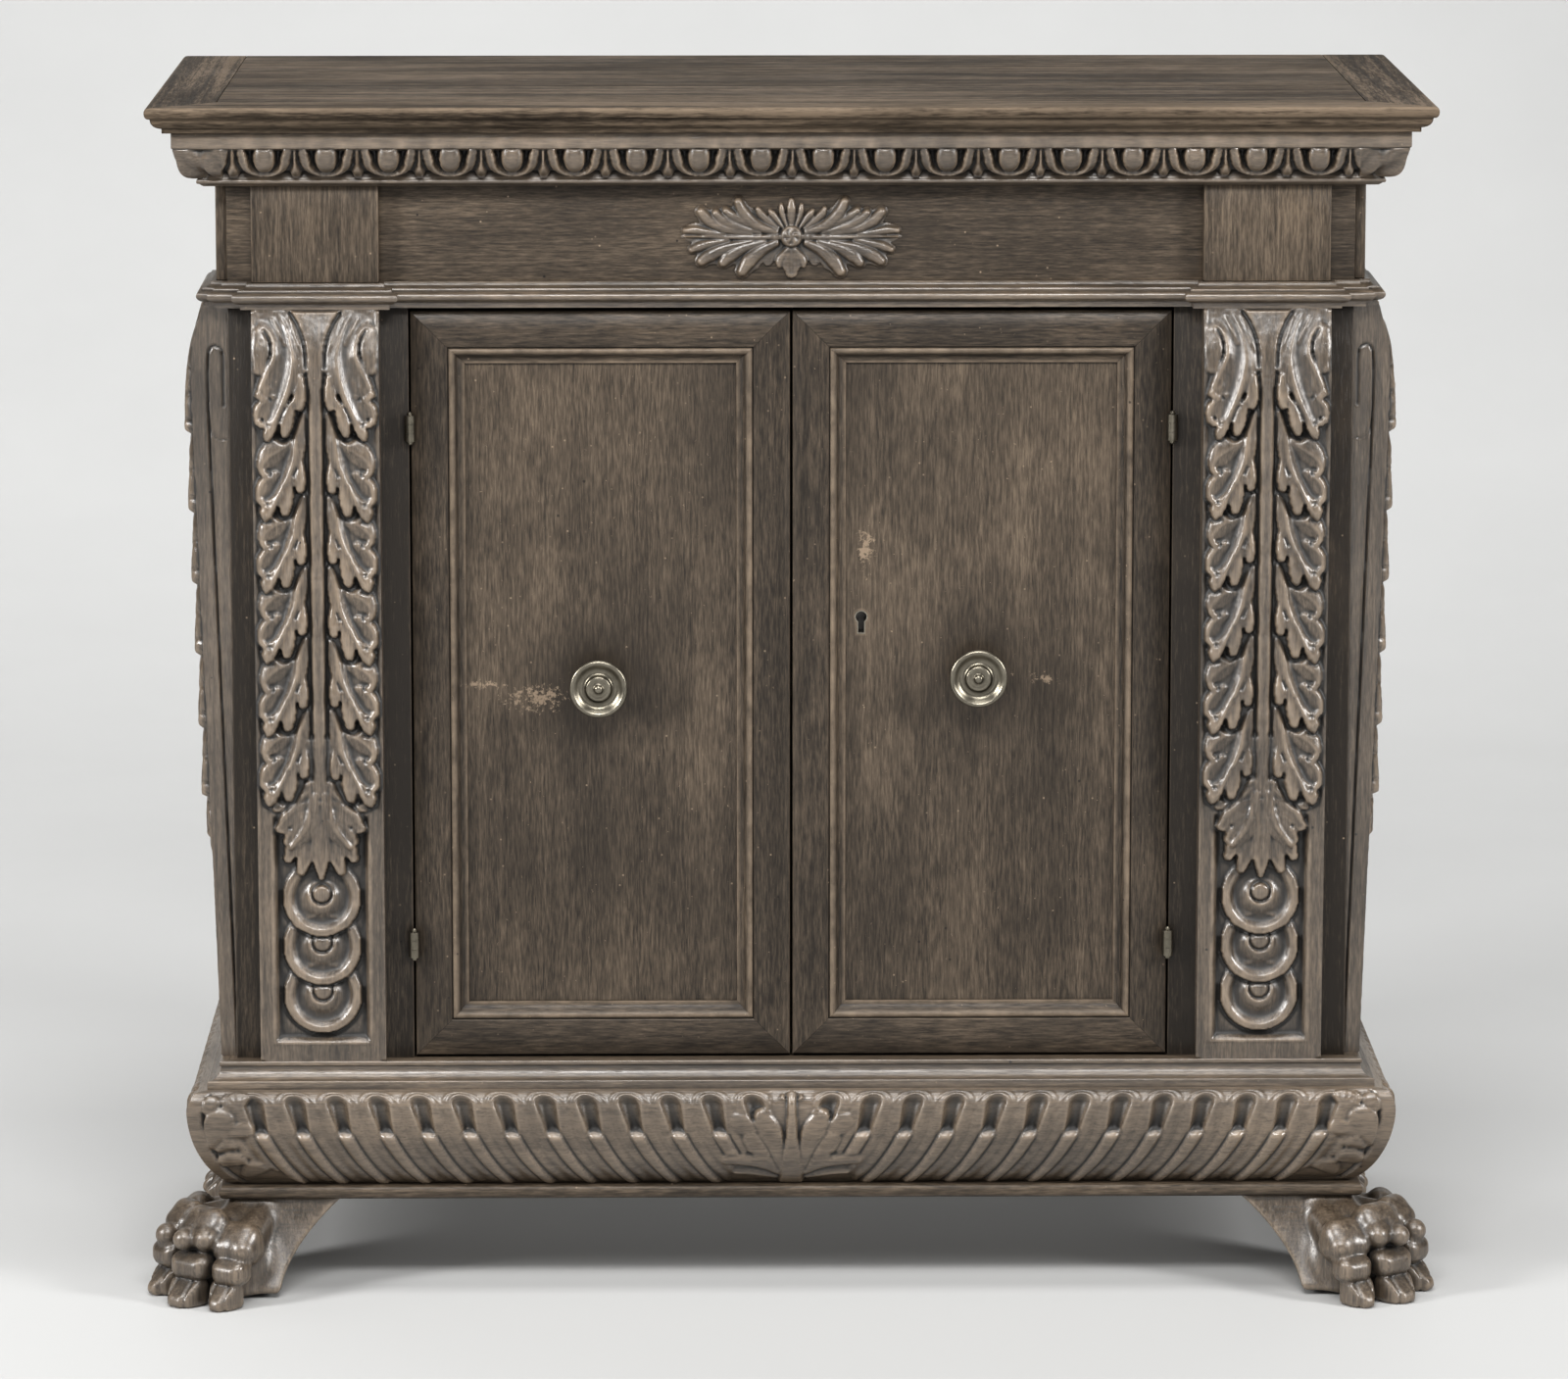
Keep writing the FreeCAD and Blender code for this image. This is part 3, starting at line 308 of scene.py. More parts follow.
def board(b, x0, x1, y0, y1, z0, z1, r=1.2, grain="z", seed=None, tone=0.0, wear=0.55, seg=2):
    """A plank with rounded arrises; the rounded strips carry the wear, which also paints a highlight along them."""
    bm = bmesh.new()
    bmesh.ops.create_cube(bm, size=1.0)
    for v in bm.verts:
        v.co = Vector(((x0 + x1) / 2 + v.co.x * (x1 - x0), (y0 + y1) / 2 + v.co.y * (y1 - y0), (z0 + z1) / 2 + v.co.z * (z1 - z0)))
    big = set()
    r = min(r, 0.45 * min(x1 - x0, y1 - y0, z1 - z0))
    bmesh.ops.bevel(bm, geom=list(bm.edges), offset=r, segments=seg, profile=0.5, affect="EDGES")
    bm.verts.ensure_lookup_table()
    verts = [tuple(v.co) for v in bm.verts]
    faces, fc = [], []
    for f in bm.faces:
        n = f.normal
        faces.append([v.index for v in f.verts])
        fc.append(0.0 if max(abs(n.x), abs(n.y), abs(n.z)) > 0.9999 else wear)
    bm.free()
    b.add(verts, faces, grain=grain, seed=seed, tone=tone, face_cav=fc)
    return b


def ring_run(b, profile, stations, place, grain="x", seed=None, tone=0.0, cav=None, closed_back=None):
    """A straight moulding. profile: (out, z) points, outer face first to last; closed_back: extra points that close the section.
    stations: functions of out giving the place along the run at each cut; place(along, out, z) -> xyz."""
    prof = list(profile) + list(closed_back or [])
    n = len(prof)
    verts = []
    for st in stations:
        for o, z in prof:
            verts.append(place(st(o), o, z))
    faces = []
    m = len(stations)
    for i in range(m - 1):
        for j in range(n):
            k = (j + 1) % n
            faces.append([i * n + j, i * n + k, (i + 1) * n + k, (i + 1) * n + j])
    faces.append(list(range(n))[::-1])
    faces.append([(m - 1) * n + j for j in range(n)])
    c = np.zeros(len(verts))
    if cav is not None:
        per = np.array(list(cav) + [0.0] * (n - len(cav)))
        c = np.tile(per, m)
    b.add(verts, [f for f in faces], cav=c, grain=grain, seed=seed, tone=tone)
    return b


def on_front(a, o, z):
    return (a, FP - o, z)


def on_left(a, o, z):
    return (-(CH + o), a, z)


def on_right(a, o, z):
    return (CH + o, a, z)


def convexity(profile):
    """Wear for the points of a moulding: crests positive, hollows negative."""
    p = np.asarray(profile, float)
    out = np.zeros(len(p))
    for i in range(1, len(p) - 1):
        a, c = p[i] - p[i - 1], p[i + 1] - p[i]
        la, lc = np.linalg.norm(a), np.linalg.norm(c)
        if la < 1e-6 or lc < 1e-6:
            continue
        turn = (a[0] * c[1] - a[1] * c[0]) / (la * lc)
        out[i] = np.clip(-turn * 0.9, -0.9, 0.7)
    return out


# ---------------------------------------------------------------------------------------------- materials
class Nodes:
    def __init__(self, name):
        self.mat = bpy.data.materials.new(name)
        self.mat.use_nodes = True
        self.nt = self.mat.node_tree
        self.nt.nodes.clear()
        self.out = self.nt.nodes.new("ShaderNodeOutputMaterial")
        self.bsdf = self.nt.nodes.new("ShaderNodeBsdfPrincipled")
        self.nt.links.new(self.bsdf.outputs[0], self.out.inputs[0])

    def link(self, a, b):
        self.nt.links.new(a, b)

    def attr(self, name, kind="Fac"):
        n = self.nt.nodes.new("ShaderNodeAttribute")
        n.attribute_name = name
        return n.outputs[kind]

    def objco(self):
        return self.nt.nodes.new("ShaderNodeTexCoord").outputs["Object"]

    def scale(self, vec, s, loc=(0, 0, 0)):
        n = self.nt.nodes.new("ShaderNodeMapping")
        n.inputs["Scale"].default_value = s
        n.inputs["Location"].default_value = loc
        self.link(vec, n.inputs["Vector"])
        return n.outputs[0]

    def noise(self, vec, scale=1.0, detail=3.0, rough=0.55, distort=0.0, lac=2.0):
        n = self.nt.nodes.new("ShaderNodeTexNoise")
        n.inputs["Scale"].default_value = scale
        n.inputs["Detail"].default_value = detail
        n.inputs["Roughness"].default_value = rough
        n.inputs["Lacunarity"].default_value = lac
        n.inputs["Distortion"].default_value = distort
        self.link(vec, n.inputs["Vector"])
        return n.outputs["Fac"]

    def voronoi(self, vec, scale=1.0, rand=1.0):
        n = self.nt.nodes.new("ShaderNodeTexVoronoi")
        n.inputs["Scale"].default_value = scale
        n.inputs["Randomness"].default_value = rand
        self.link(vec, n.inputs["Vector"])
        return n.outputs["Distance"]

    def ramp(self, fac, stops, ease=False):
        n = self.nt.nodes.new("ShaderNodeValToRGB")
        n.color_ramp.interpolation = "EASE" if ease else "LINEAR"
        e = n.color_ramp.elements
        while len(e) < len(stops):
            e.new(0.5)
        for el, (p, c) in zip(e, stops):
            el.position = p
            el.color = (*c, 1) if isinstance(c, (tuple, list)) else (c, c, c, 1)
        self.link(fac, n.inputs["Fac"])
        return n.outputs["Color"]

    def rng(self, v, a, b, c, d):
        n = self.nt.nodes.new("ShaderNodeMapRange")
        n.inputs["From Min"].default_value, n.inputs["From Max"].default_value = a, b
        n.inputs["To Min"].default_value, n.inputs["To Max"].default_value = c, d
        self.link(v, n.inputs["Value"])
        return n.outputs["Result"]

    def math(self, op, a, b=0.0, clamp=False):
        n = self.nt.nodes.new("ShaderNodeMath")
        n.operation = op
        n.use_clamp = clamp
        for i, v in enumerate((a, b)):
            if isinstance(v, (int, float)):
                n.inputs[i].default_value = v
            else:
                self.link(v, n.inputs[i])
        return n.outputs[0]

    def mix(self, fac, a, b, mode="MIX"):
        n = self.nt.nodes.new("ShaderNodeMix")
        n.data_type = "RGBA"
        n.blend_type = mode
        for key, v in (("Factor", fac), ("A", a), ("B", b)):
            s = [i for i in n.inputs if i.name == key and i.type == ("VALUE" if key == "Factor" else "RGBA")][0]
            if isinstance(v, (int, float)):
                s.default_value = v
            elif isinstance(v, (tuple, list)):
                s.default_value = (*v, 1)
            else:
                self.link(v, s)
        return [o for o in n.outputs if o.type == "RGBA"][0]

    def bump(self, height, strength, distance, normal=None):
        n = self.nt.nodes.new("ShaderNodeBump")
        n.inputs["Strength"].default_value = strength
        n.inputs["Distance"].default_value = distance
        self.link(height, n.inputs["Height"])
        if normal is not None:
            self.link(normal, n.inputs["Normal"])
        return n.outputs[0]


def walnut(name, dark, mid, light, wear, dirt_and_shade, rough=0.42, figure=1.0, dust=0.0, holes=0.0, gloss=0.5, mottle=0.3, fine=0.9, band=95, ior=1.5, handled=False):
    """Old waxed walnut: streaked grain along the board, pores, broad figure, hollows darkened for grime and painted
    shade, crests lightened for wear and painted highlight.
    """
    m = Nodes(name)
    w = m.attr("wood", "Vector")
    cav = m.attr("cav")
    tone = m.attr("tone")
    # broad figure, then streaks, then fine fibre
    broad = m.noise(m.scale(w, (1.6, 11, 11)), 1.0, 3, 0.6, 0.6)
    streak = m.noise(m.scale(w, (2.4, band, band)), 1.0, 4, 0.62, 0.9)
    fibre = m.noise(m.scale(w, (0.5 * band, 4.4 * band, 4.4 * band)), 1.0, 3, 0.65)
    pore = m.noise(m.scale(w, (60, 1300, 1300)), 1.0, 1, 0.5)
    f = m.math("MULTIPLY", m.math("SUBTRACT", broad, 0.5), 1.1 * figure)
    f = m.math("ADD", f, m.math("MULTIPLY", m.math("SUBTRACT", streak, 0.5), 1.8 * figure))
    f = m.math("ADD", f, m.math("MULTIPLY", m.math("SUBTRACT", fibre, 0.5), fine))
    f = m.math("ADD", f, m.math("ADD", 0.5, tone))
    col = m.ramp(f, [(0.12, dark), (0.5, mid), (0.86, light)])
    pores = m.rng(pore, 0.60, 0.72, 0.0, 1.0)
    col = m.mix(m.math("MULTIPLY", pores, 0.5), col, tuple(0.45 * c for c in dark))
    # patina in patches
    patch = m.noise(m.scale(w, (7, 12, 12), (3, 1, 7)), 1.0, 5, 0.62)
    col = m.mix(m.rng(patch, 0.40, 0.66, 0.0, mottle), col, tuple(0.75 * c for c in dark))
    col = m.mix(m.rng(patch, 0.46, 0.30, 0.0, 0.35 * mottle), col, light)
    if handled:
        # darker round the pulls, scuffed beside them, on the outside only
        sep = m.nt.nodes.new("ShaderNodeSeparateXYZ")
        m.link(m.objco(), sep.inputs[0])
        x, z = sep.outputs[0], sep.outputs[2]
        outside = m.rng(sep.outputs[1], -0.1445, -0.1415, 1.0, 0.0)

        def spread(x0, z0, rx, rz, both=False):
            a = m.math("DIVIDE", m.math("SUBTRACT", m.math("ABSOLUTE", x) if both else x, x0), rx)
            c = m.math("DIVIDE", m.math("SUBTRACT", z, z0), rz)
            return m.math("SQRT", m.math("ADD", m.math("MULTIPLY", a, a), m.math("MULTIPLY", c, c)))
        halo = m.math("MULTIPLY", m.rng(spread(0.160, 0.520, 0.062, 0.046, True), 0.25, 1.5, 0.75, 0.0), m.rng(patch, 0.3, 0.6, 0.6, 1.0), True)
        col = m.mix(m.math("MULTIPLY", halo, outside), col, dark)
        chip = m.noise(m.scale(m.objco(), (240, 240, 240)), 1.0, 4, 0.7)
        for x0, z0, rx, rz in ((-0.214, 0.508, 0.040, 0.017), (-0.256, 0.520, 0.030, 0.006), (0.211, 0.524, 0.018, 0.008), (0.062, 0.634, 0.012, 0.030)):
            near = m.rng(spread(x0, z0, rx, rz), 0.0, 1.1, 0.17, -0.14)
            s = m.rng(m.math("ADD", chip, near), 0.55, 0.64, 0.0, 0.75)
            col = m.mix(m.math("MULTIPLY", s, outside), col, tuple(min(1.0, 1.9 * c) for c in light))
    # crests lightened for rubbing and as painted highlight, hollows darkened for grime and painted shade
    nick = m.noise(m.scale(w, (60, 60, 60)), 1.0, 3, 0.6)
    up = m.math("MULTIPLY", m.rng(cav, 0.22, 1.0, 0.0, 0.6), m.rng(nick, 0.25, 0.65, 0.25, 1.0), True)
    col = m.mix(up, col, wear)
    dirt_and_shade_mask = m.math("MULTIPLY", m.rng(cav, -0.14, -0.80, 0.0, 1.0), 0.95, True)
    col = m.mix(dirt_and_shade_mask, col, dirt_and_shade)
    if dust:
        spot = m.voronoi(m.scale(w, (75, 75, 75), (0.3, 0.9, 0.2)), 1.0)
        few = m.noise(m.scale(w, (21, 21, 21)), 1.0, 1, 0.5)
        s = m.math("MULTIPLY", m.rng(spot, 0.03, 0.085, 1.0, 0.0), m.rng(few, 0.44, 0.62, 0.0, dust), True)
        col = m.mix(s, col, tuple(min(1, 2.0 * c) for c in light))
    if holes:
        spot = m.voronoi(m.scale(w, (38, 38, 38), (0.7, 0.2, 0.5)), 1.0)
        few = m.noise(m.scale(w, (17, 17, 17), (4, 4, 4)), 1.0, 1, 0.5)
        s = m.math("MULTIPLY", m.rng(spot, 0.035, 0.055, 1.0, 0.0), m.rng(few, 0.53, 0.58, 0.0, holes), True)
        col = m.mix(s, col, (0.004, 0.003, 0.002))
    m.link(col, m.bsdf.inputs["Base Color"])
    r = m.math("ADD", rough, m.math("MULTIPLY", m.math("SUBTRACT", streak, 0.5), 0.24))
    r = m.math("ADD", r, m.math("MULTIPLY", dirt_and_shade_mask, 0.28))
    r = m.math("ADD", r, m.math("MULTIPLY", m.math("SUBTRACT", patch, 0.5), 0.3))
    m.link(m.math("ADD", r, m.math("MULTIPLY", pores, 0.12), True), m.bsdf.inputs["Roughness"])
    h = m.math("ADD", m.math("MULTIPLY", streak, 0.6), m.math("MULTIPLY", fibre, 0.3))
    h = m.math("SUBTRACT", h, m.math("MULTIPLY", pores, 0.4))
    dent = m.noise(m.scale(w, (26, 45, 45)), 1.0, 2, 0.5)
    n = m.bump(dent, 0.25, 0.0012)
    n = m.bump(h, 0.32, 0.0006, n)
    m.link(n, m.bsdf.inputs["Normal"])
    m.bsdf.inputs["Specular IOR Level"].default_value = gloss
    m.bsdf.inputs["IOR"].default_value = ior
    return m.mat


def metal(name, base, deep, worn, rough, metallic=1.0):
    """Old metal, dull in the hollows and brighter where it is handled."""
    m = Nodes(name)
    p = m.objco()
    a = m.noise(m.scale(p, (60, 60, 60)), 1.0, 5, 0.65)
    b = m.noise(m.scale(p, (420, 420, 420)), 1.0, 3, 0.6)
    col = m.ramp(a, [(0.25, deep), (0.5, base), (0.95, worn)])
    cav = m.attr("cav")
    col = m.mix(m.rng(cav, -0.05, -0.7, 0.0, 0.85), col, tuple(0.3 * c for c in deep))
    col = m.mix(m.rng(cav, 0.1, 0.8, 0.0, 0.7), col, worn)
    m.link(col, m.bsdf.inputs["Base Color"])
    m.bsdf.inputs["Metallic"].default_value = metallic
    r = m.math("ADD", rough, m.math("MULTIPLY", m.math("SUBTRACT", a, 0.5), 0.12))
    m.link(m.math("ADD", r, m.math("MULTIPLY", m.math("SUBTRACT", b, 0.5), 0.1), True), m.bsdf.inputs["Roughness"])
    m.link(m.bump(b, 0.1, 0.0001), m.bsdf.inputs["Normal"])
    return m.mat


# the fourth colour of each walnut is the wear colour, also used as painted highlight on crests and arrises; the fifth
# darkens the hollows for grime and painted shade
CARVED = walnut("carved_walnut", (0.0288, 0.0218, 0.0152), (0.0948, 0.0720, 0.0510), (0.1905, 0.1468, 0.1053),
                (0.3090, 0.2423, 0.1782), (0.0062, 0.0046, 0.0032), rough=0.35, figure=0.5, gloss=1.0, ior=1.54, dust=0.3, holes=0.9, mottle=0.45, fine=1.2, band=140)
CASE = walnut("case_walnut", (0.0227, 0.0170, 0.0119), (0.0762, 0.0579, 0.0410), (0.1597, 0.1231, 0.0882),
              (0.2987, 0.2344, 0.1728), (0.0062, 0.0046, 0.0032), rough=0.44, figure=0.5, gloss=0.45, dust=0.9, holes=0.9, mottle=0.5, fine=1.5, band=130)
TOPW = walnut("top_walnut", (0.0250, 0.0186, 0.0129), (0.0660, 0.0501, 0.0356), (0.1500, 0.1156, 0.0836),
              (0.3090, 0.2423, 0.1782), (0.0072, 0.0053, 0.0038), rough=0.60, figure=1.25, gloss=0.15, mottle=0.35, fine=1.7, band=110)
DOOR = walnut("door_walnut", (0.0227, 0.0170, 0.0119), (0.0824, 0.0626, 0.0444), (0.1597, 0.1231, 0.0882),
              (0.2987, 0.2344, 0.1728), (0.0062, 0.0046, 0.0032), rough=0.43, figure=0.3, gloss=0.45, dust=0.7, holes=0.7, mottle=0.55, fine=1.5, band=125, handled=True)
INSIDE = walnut("inside_wood", (0.080, 0.0610, 0.0450), (0.170, 0.132, 0.099), (0.270, 0.214, 0.165),
                (0.320, 0.260, 0.205), (0.0300, 0.0230, 0.0172), rough=0.66, figure=0.8, gloss=0.3)
BRASS = metal("dull_brass", (0.205, 0.187, 0.151), (0.140, 0.128, 0.103), (0.330, 0.305, 0.254), 0.35)
IRON = metal("dark_iron", (0.090, 0.087, 0.083), (0.040, 0.038, 0.036), (0.22, 0.215, 0.205), 0.46)


# ---------------------------------------------------------------------------------------------- top
TOP_EDGE = [(4.2, 22.0), (2.2, 21.7), (0.8, 20.8), (0.1, 19.3), (0.0, 17.4), (0.3, 15.4), (1.1, 13.9), (2.4, 12.9), (4.4, 12.5),
            (4.7, 11.7), (4.9, 10.4), (5.5, 8.6), (6.9, 6.8), (8.9, 5.4), (11.4, 4.4), (13.3, 4.0), (13.6, 3.6), (13.6, 0.5), (14.1, 0.0)]
TOP_WEAR = [0.25, 0.5, 0.55, 0.35, 0.1, 0.0, -0.1, -0.35, 0.25, -0.35, -0.2, 0.0, 0.0, 0.0, 0.0, 0.3, 0.45, 0.3, 0.0]


def top_piece(name, width, place, lo, hi, grain, seed, tone):
    prof = [(width, 22.0), (width - 0.6, 22.0)] + TOP_EDGE + [(width, 0.0)]
    wear = [-0.1, 0.0] + TOP_WEAR + [0.0]
    b = Build(name)
    n = len(prof)
    steps = 2
    verts, c = [], []
    for i in range(steps):
        t = i / (steps - 1)
        for (o, z), k in zip(prof, wear):
            a = lo(o) * (1 - t) + hi(o) * t
            verts.append(place(a, o, 992.0 + z))
            c.append(k)
    faces = []
    for i in range(steps - 1):
        for j in range(n):
            k = (j + 1) % n
            faces.append([i * n + j, i * n + k, (i + 1) * n + k, (i + 1) * n + j])
    faces += [list(range(n))[::-1], [(steps - 1) * n + j for j in range(n)]]
    b.add(verts, faces, cav=c, grain=grain, seed=seed, tone=tone)
    return b.object("carcass", TOPW, "top_walnut", [name], sharp=50)


top_piece("top_front_band", 52.0, lambda a, o, z: (a, -220.0 + o, z), lambda o: -532.5 + o * 56 / 52 + 0.1, lambda o: 532.5 - o * 56 / 52 - 0.1, "x", 501, 0.16)
top_piece("top_cleat_left", 56.0, lambda a, o, z: (-532.5 + o, a, z), lambda o: -220.0 + o * 52 / 56 + 0.1, lambda o: 240.0, "y", 502, 0.05)
top_piece("top_cleat_right", 56.0, lambda a, o, z: (532.5 - o, a, z), lambda o: -220.0 + o * 52 / 56 + 0.1, lambda o: 240.0, "y", 503, 0.05)
b = Build("top_field")
for y0, y1, sd, tn in ((-167.8, -38.0, 511, 0.02), (-38.0, 96.0, 512, -0.05), (96.0, 240.0, 513, 0.0)):
    board(b, -476.3, 476.3, y0 + 0.06, y1 - 0.06, 992, 1014, r=0.5, grain="x", seed=sd, tone=tn, wear=-0.15, seg=1)
b.object("carcass", TOPW, "top_walnut", ["top_field"])


# ---------------------------------------------------------------------------------------------- carved runs
def carved_run(name, prof, band, carve, place, main, corner_lo, corner_hi, back, cell, grain, mat, slot, seed, wear=None, tone=0.0, end_hi=None):
    """A moulding with a carved band. prof: (out, z) points down the face. carve(along, arc, edge) gives the lift along the face's normal;
    main: (lo, hi) of the straight stretch; corner_lo / corner_hi: True where that end is mitred at a corner."""
    p = np.asarray(prof, float)
    seg = np.linalg.norm(np.diff(p, axis=0), axis=1)
    s = np.concatenate([[0], np.cumsum(seg)])
    t = np.gradient(p, s, axis=0)
    t /= np.linalg.norm(t, axis=1)[:, None]
    nrm = np.stack([-t[:, 1], t[:, 0]], 1)          # points outward for a face traced downwards
    lo, hi = main
    cols = [(a, 0.0) for a in np.linspace(lo, hi, int(round((hi - lo) / cell)) + 1)]
    nc = max(3, int(round(p[:, 0].max() / cell)))
    if corner_lo:
        cols = [(lo, -c) for c in np.linspace(1, 0, nc, endpoint=False)] + cols
    if corner_hi:
        cols = cols + [(hi, c) for c in np.linspace(0, 1, nc + 1)[1:]]
    a0 = np.array([c[0] for c in cols])
    c0 = np.array([c[1] for c in cols])
    A = a0[None, :] + c0[None, :] * p[:, :1]
    arc = np.repeat((s - s[band[0]])[:, None], len(cols), 1)
    lift = carve(A, arc, c0[None, :] + 0 * arc)
    mask = np.zeros(len(p))
    mask[band[0]:band[1] + 1] = 1
    lift = lift * mask[:, None]
    out = p[:, :1] + lift * nrm[:, :1]
    z = p[:, 1:] + lift * nrm[:, 1:]
    A = a0[None, :] + c0[None, :] * out
    cv = cavity(lift, cell, 1.3, 6.0)
    base = np.zeros(len(p)) if wear is None else np.asarray(wear, float)
    cv = np.clip(cv + base[:, None], -1, 1)
    rows = len(p)
    pts = np.stack([np.stack(place(A[i], out[i], z[i]), 1) for i in range(rows)])
    verts = [pts.reshape(-1, 3)]
    n = len(cols)
    faces = [grid_faces(rows, n)]
    # close the section behind
    k = rows * n
    extra = []
    for o, zz in back:
        extra.append(np.stack(place(a0 + c0 * o, np.full(n, o), np.full(n, zz)), 1))
    if extra:
        verts.append(np.concatenate(extra))
    m = len(extra)
    ring = [i * n for i in range(rows)] + [k + i * n for i in range(m)]
    for i in range(rows - 1, rows + m):
        r0, r1 = ring[i % len(ring)], ring[(i + 1) % len(ring)]
        j = np.arange(n - 1)
        faces.append(np.stack([r0 + j, r0 + j + 1, r1 + j + 1, r1 + j], 1))
    faces.append([r for r in ring][::-1])
    faces.append([r + n - 1 for r in ring])
    allc = np.concatenate([cv.ravel(), np.zeros(m * n)])
    return np.concatenate(verts), faces, allc


def place_front(a, o, z):
    return a, FP - o, z


def place_left(a, o, z):
    return -(CH + o), a, z


def place_right(a, o, z):
    return CH + o, a, z


def dense(points, step):
    """Adds points along a polyline so that no part is longer than step."""
    out = [points[0]]
    for a, c in zip(points[:-1], points[1:]):
        n = max(1, int(math.ceil(math.dist(a, c) / step)))
        for i in range(1, n + 1):
            t = i / n
            out.append((a[0] * (1 - t) + c[0] * t, a[1] * (1 - t) + c[1] * t))
    return out


# cornice: fascia, egg and dart, fillets
OV = [(22 + 19 * math.cos(t), 977 - 24 * math.sin(t)) for t in np.linspace(0, math.pi / 2, 30)]
C_TOP = [(41.2, 992.0), (41.8, 991.6), (42.0, 991.0), (42.0, 979.6), (41.6, 978.6), (40.6, 978.2)]
C_LOW = [(21.6, 952.6), (21.6, 951.2), (22.6, 950.6), (22.9, 949.6), (22.9, 948.6), (22.3, 947.6), (20.4, 947.2), (19.2, 946.2), (17.2, 945.0)]
CORNICE = C_TOP + OV + C_LOW
C_BAND = (len(C_TOP), len(C_TOP) + len(OV) - 1)
C_WEAR = [0.0, 0.5, 0.55, 0.5, 0.3, -0.5] + [-0.25] + [0.0] * (len(OV) - 3) + [0.0, -0.2] + [-0.4, -0.1, 0.2, 0.3, 0.3, 0.2, -0.2, 0.1, 0.0]
ARC = math.pi / 2 * math.sqrt((19 ** 2 + 24 ** 2) / 2)
PITCH = 51.3


def egg_and_dart(first, corner_sign):
    """The band's lift; first is the place of one egg."""
    def carve(A, arc, edge):
        k = np.round((A - first) / PITCH)
        ex = A - first - k * PITCH
        jig = 0.6 * noise2(k * 1.7 + 9, k * 0 + 3.3, 77)
        ex = ex + jig
        a = arc
        wide = smooth((10 - a) / 10)
        r_egg = np.sqrt((ex / 9.6) ** 2 + ((a - 9.0) / np.where(a < 9.0, 22.0, 16.6)) ** 2)
        r_in = np.sqrt((ex / (13.4 + 2.0 * wide)) ** 2 + ((a - 8.0) / np.where(a < 8.0, 90.0, 18.6)) ** 2)
        r_out = np.sqrt((ex / (21.6 + 1.6 * wide)) ** 2 + ((a - 8.0) / np.where(a < 8.0, 90.0, 23.4)) ** 2)
        egg = -6.6 * (1 - np.sqrt(np.clip(1 - r_egg ** 2, 0, 1))) + 1.8
        hollow = -10.0 + 4.0 * smooth((a - 16) / 9)
        mid = np.clip((r_in - 1) / np.maximum(r_in - r_out, 1e-6), 0, 1)
        rim = 0.9 - 3.0 * mid ** 1.6 - 1.2 * (1 - smooth(mid / 0.16))
        lift = np.where(r_egg < 1, egg, hollow)
        lift = np.where((r_egg >= 1) & (r_in >= 1), np.where(r_out < 1, rim, -5.6), lift)
        dd = np.abs(np.abs(ex) - PITCH / 2)
        half = 1.1 + 3.4 * smooth((a - 10) / 16)
        dart = -2.6 + 2.4 * np.sqrt(np.clip(1 - (dd / half) ** 2, 0, 1))
        lift = np.where(dd < half, np.maximum(lift, dart), lift)
        # a turned leaf covers each corner
        q = np.abs(edge)
        near = q > 0
        if corner_sign:
            leaf = -1.2 + 1.6 * np.cos(q * math.pi * 2.6 + a * 0.18) - 2.2 * np.exp(-((q - 0.5) / 0.09) ** 2) + 1.2 * smooth((q - 0.75) / 0.25)
            lift = np.where(near, leaf, lift)
        return soften(lift)
    return carve


CB = [(0.0, 945.0), (0.0, 992.0)]
v, f, c = carved_run("cornice_front", CORNICE, C_BAND, egg_and_dart(PITCH / 2, True), place_front, (-CH, CH), True, True, CB, 1.0, "x", CARVED, "carved_walnut", 1, C_WEAR)
Build("cornice_front").add(v, f, cav=c, grain="x", seed=521, tone=0.08, weld=True).object("carcass", CARVED, "carved_walnut", ["cornice_front"], sharp=60)
b = Build("cornice_sides")
for pl, sd in ((place_left, 522), (place_right, 523)):
    v, f, c = carved_run("cornice_sides", CORNICE, C_BAND, egg_and_dart(FP + 33.7, True), pl, (FP, BACK), True, False, CB, 1.15, "y", CARVED, "carved_walnut", 2, C_WEAR)
    b.add(v, f, cav=c, grain="y", seed=sd, tone=0.08, weld=True)
b.object("carcass", CARVED, "carved_walnut", ["cornice_sides"], sharp=60)

# base: cove ledge
COVE = [(0.0, 200.0), (12.6, 200.0), (13.6, 199.7), (14.0, 199.0), (14.0, 196.8), (13.7, 196.2), (12.9, 195.8)] + \
       [(12.9 + 9.6 * (1 - math.cos(t)), 195.4 - 10.2 * math.sin(t)) for t in np.linspace(0.05, math.pi / 2, 12)] + \
       [(23.2, 185.1), (23.9, 184.6), (24.0, 183.8), (24.0, 178.0)]
COVE_WEAR = [0.0, 0.1, 0.45, 0.55, 0.2, -0.2, -0.45] + [-0.5, -0.3, -0.2, -0.1, 0.0, 0.05, 0.1, 0.1, 0.1, 0.1, 0.0, -0.2] + [0.3, 0.5, 0.3, -0.3]
b = Build("base_cove_front")
ring_run(b, COVE, [lambda o: -(CH + o), lambda o: CH + o], on_front, "x", 531, 0.06, COVE_WEAR, [(0.0, 178.0)])
b.object("carcass", CARVED, "carved_walnut", ["base_cove_front"], sharp=50)
b = Build("base_cove_sides")
for pl, sd in ((on_left, 532), (on_right, 533)):
    ring_run(b, COVE, [lambda o: FP - o, lambda o: BACK], pl, "y", sd, 0.06, COVE_WEAR, [(0.0, 178.0)])
b.object("carcass", CARVED, "carved_walnut", ["base_cove_sides"], sharp=50)

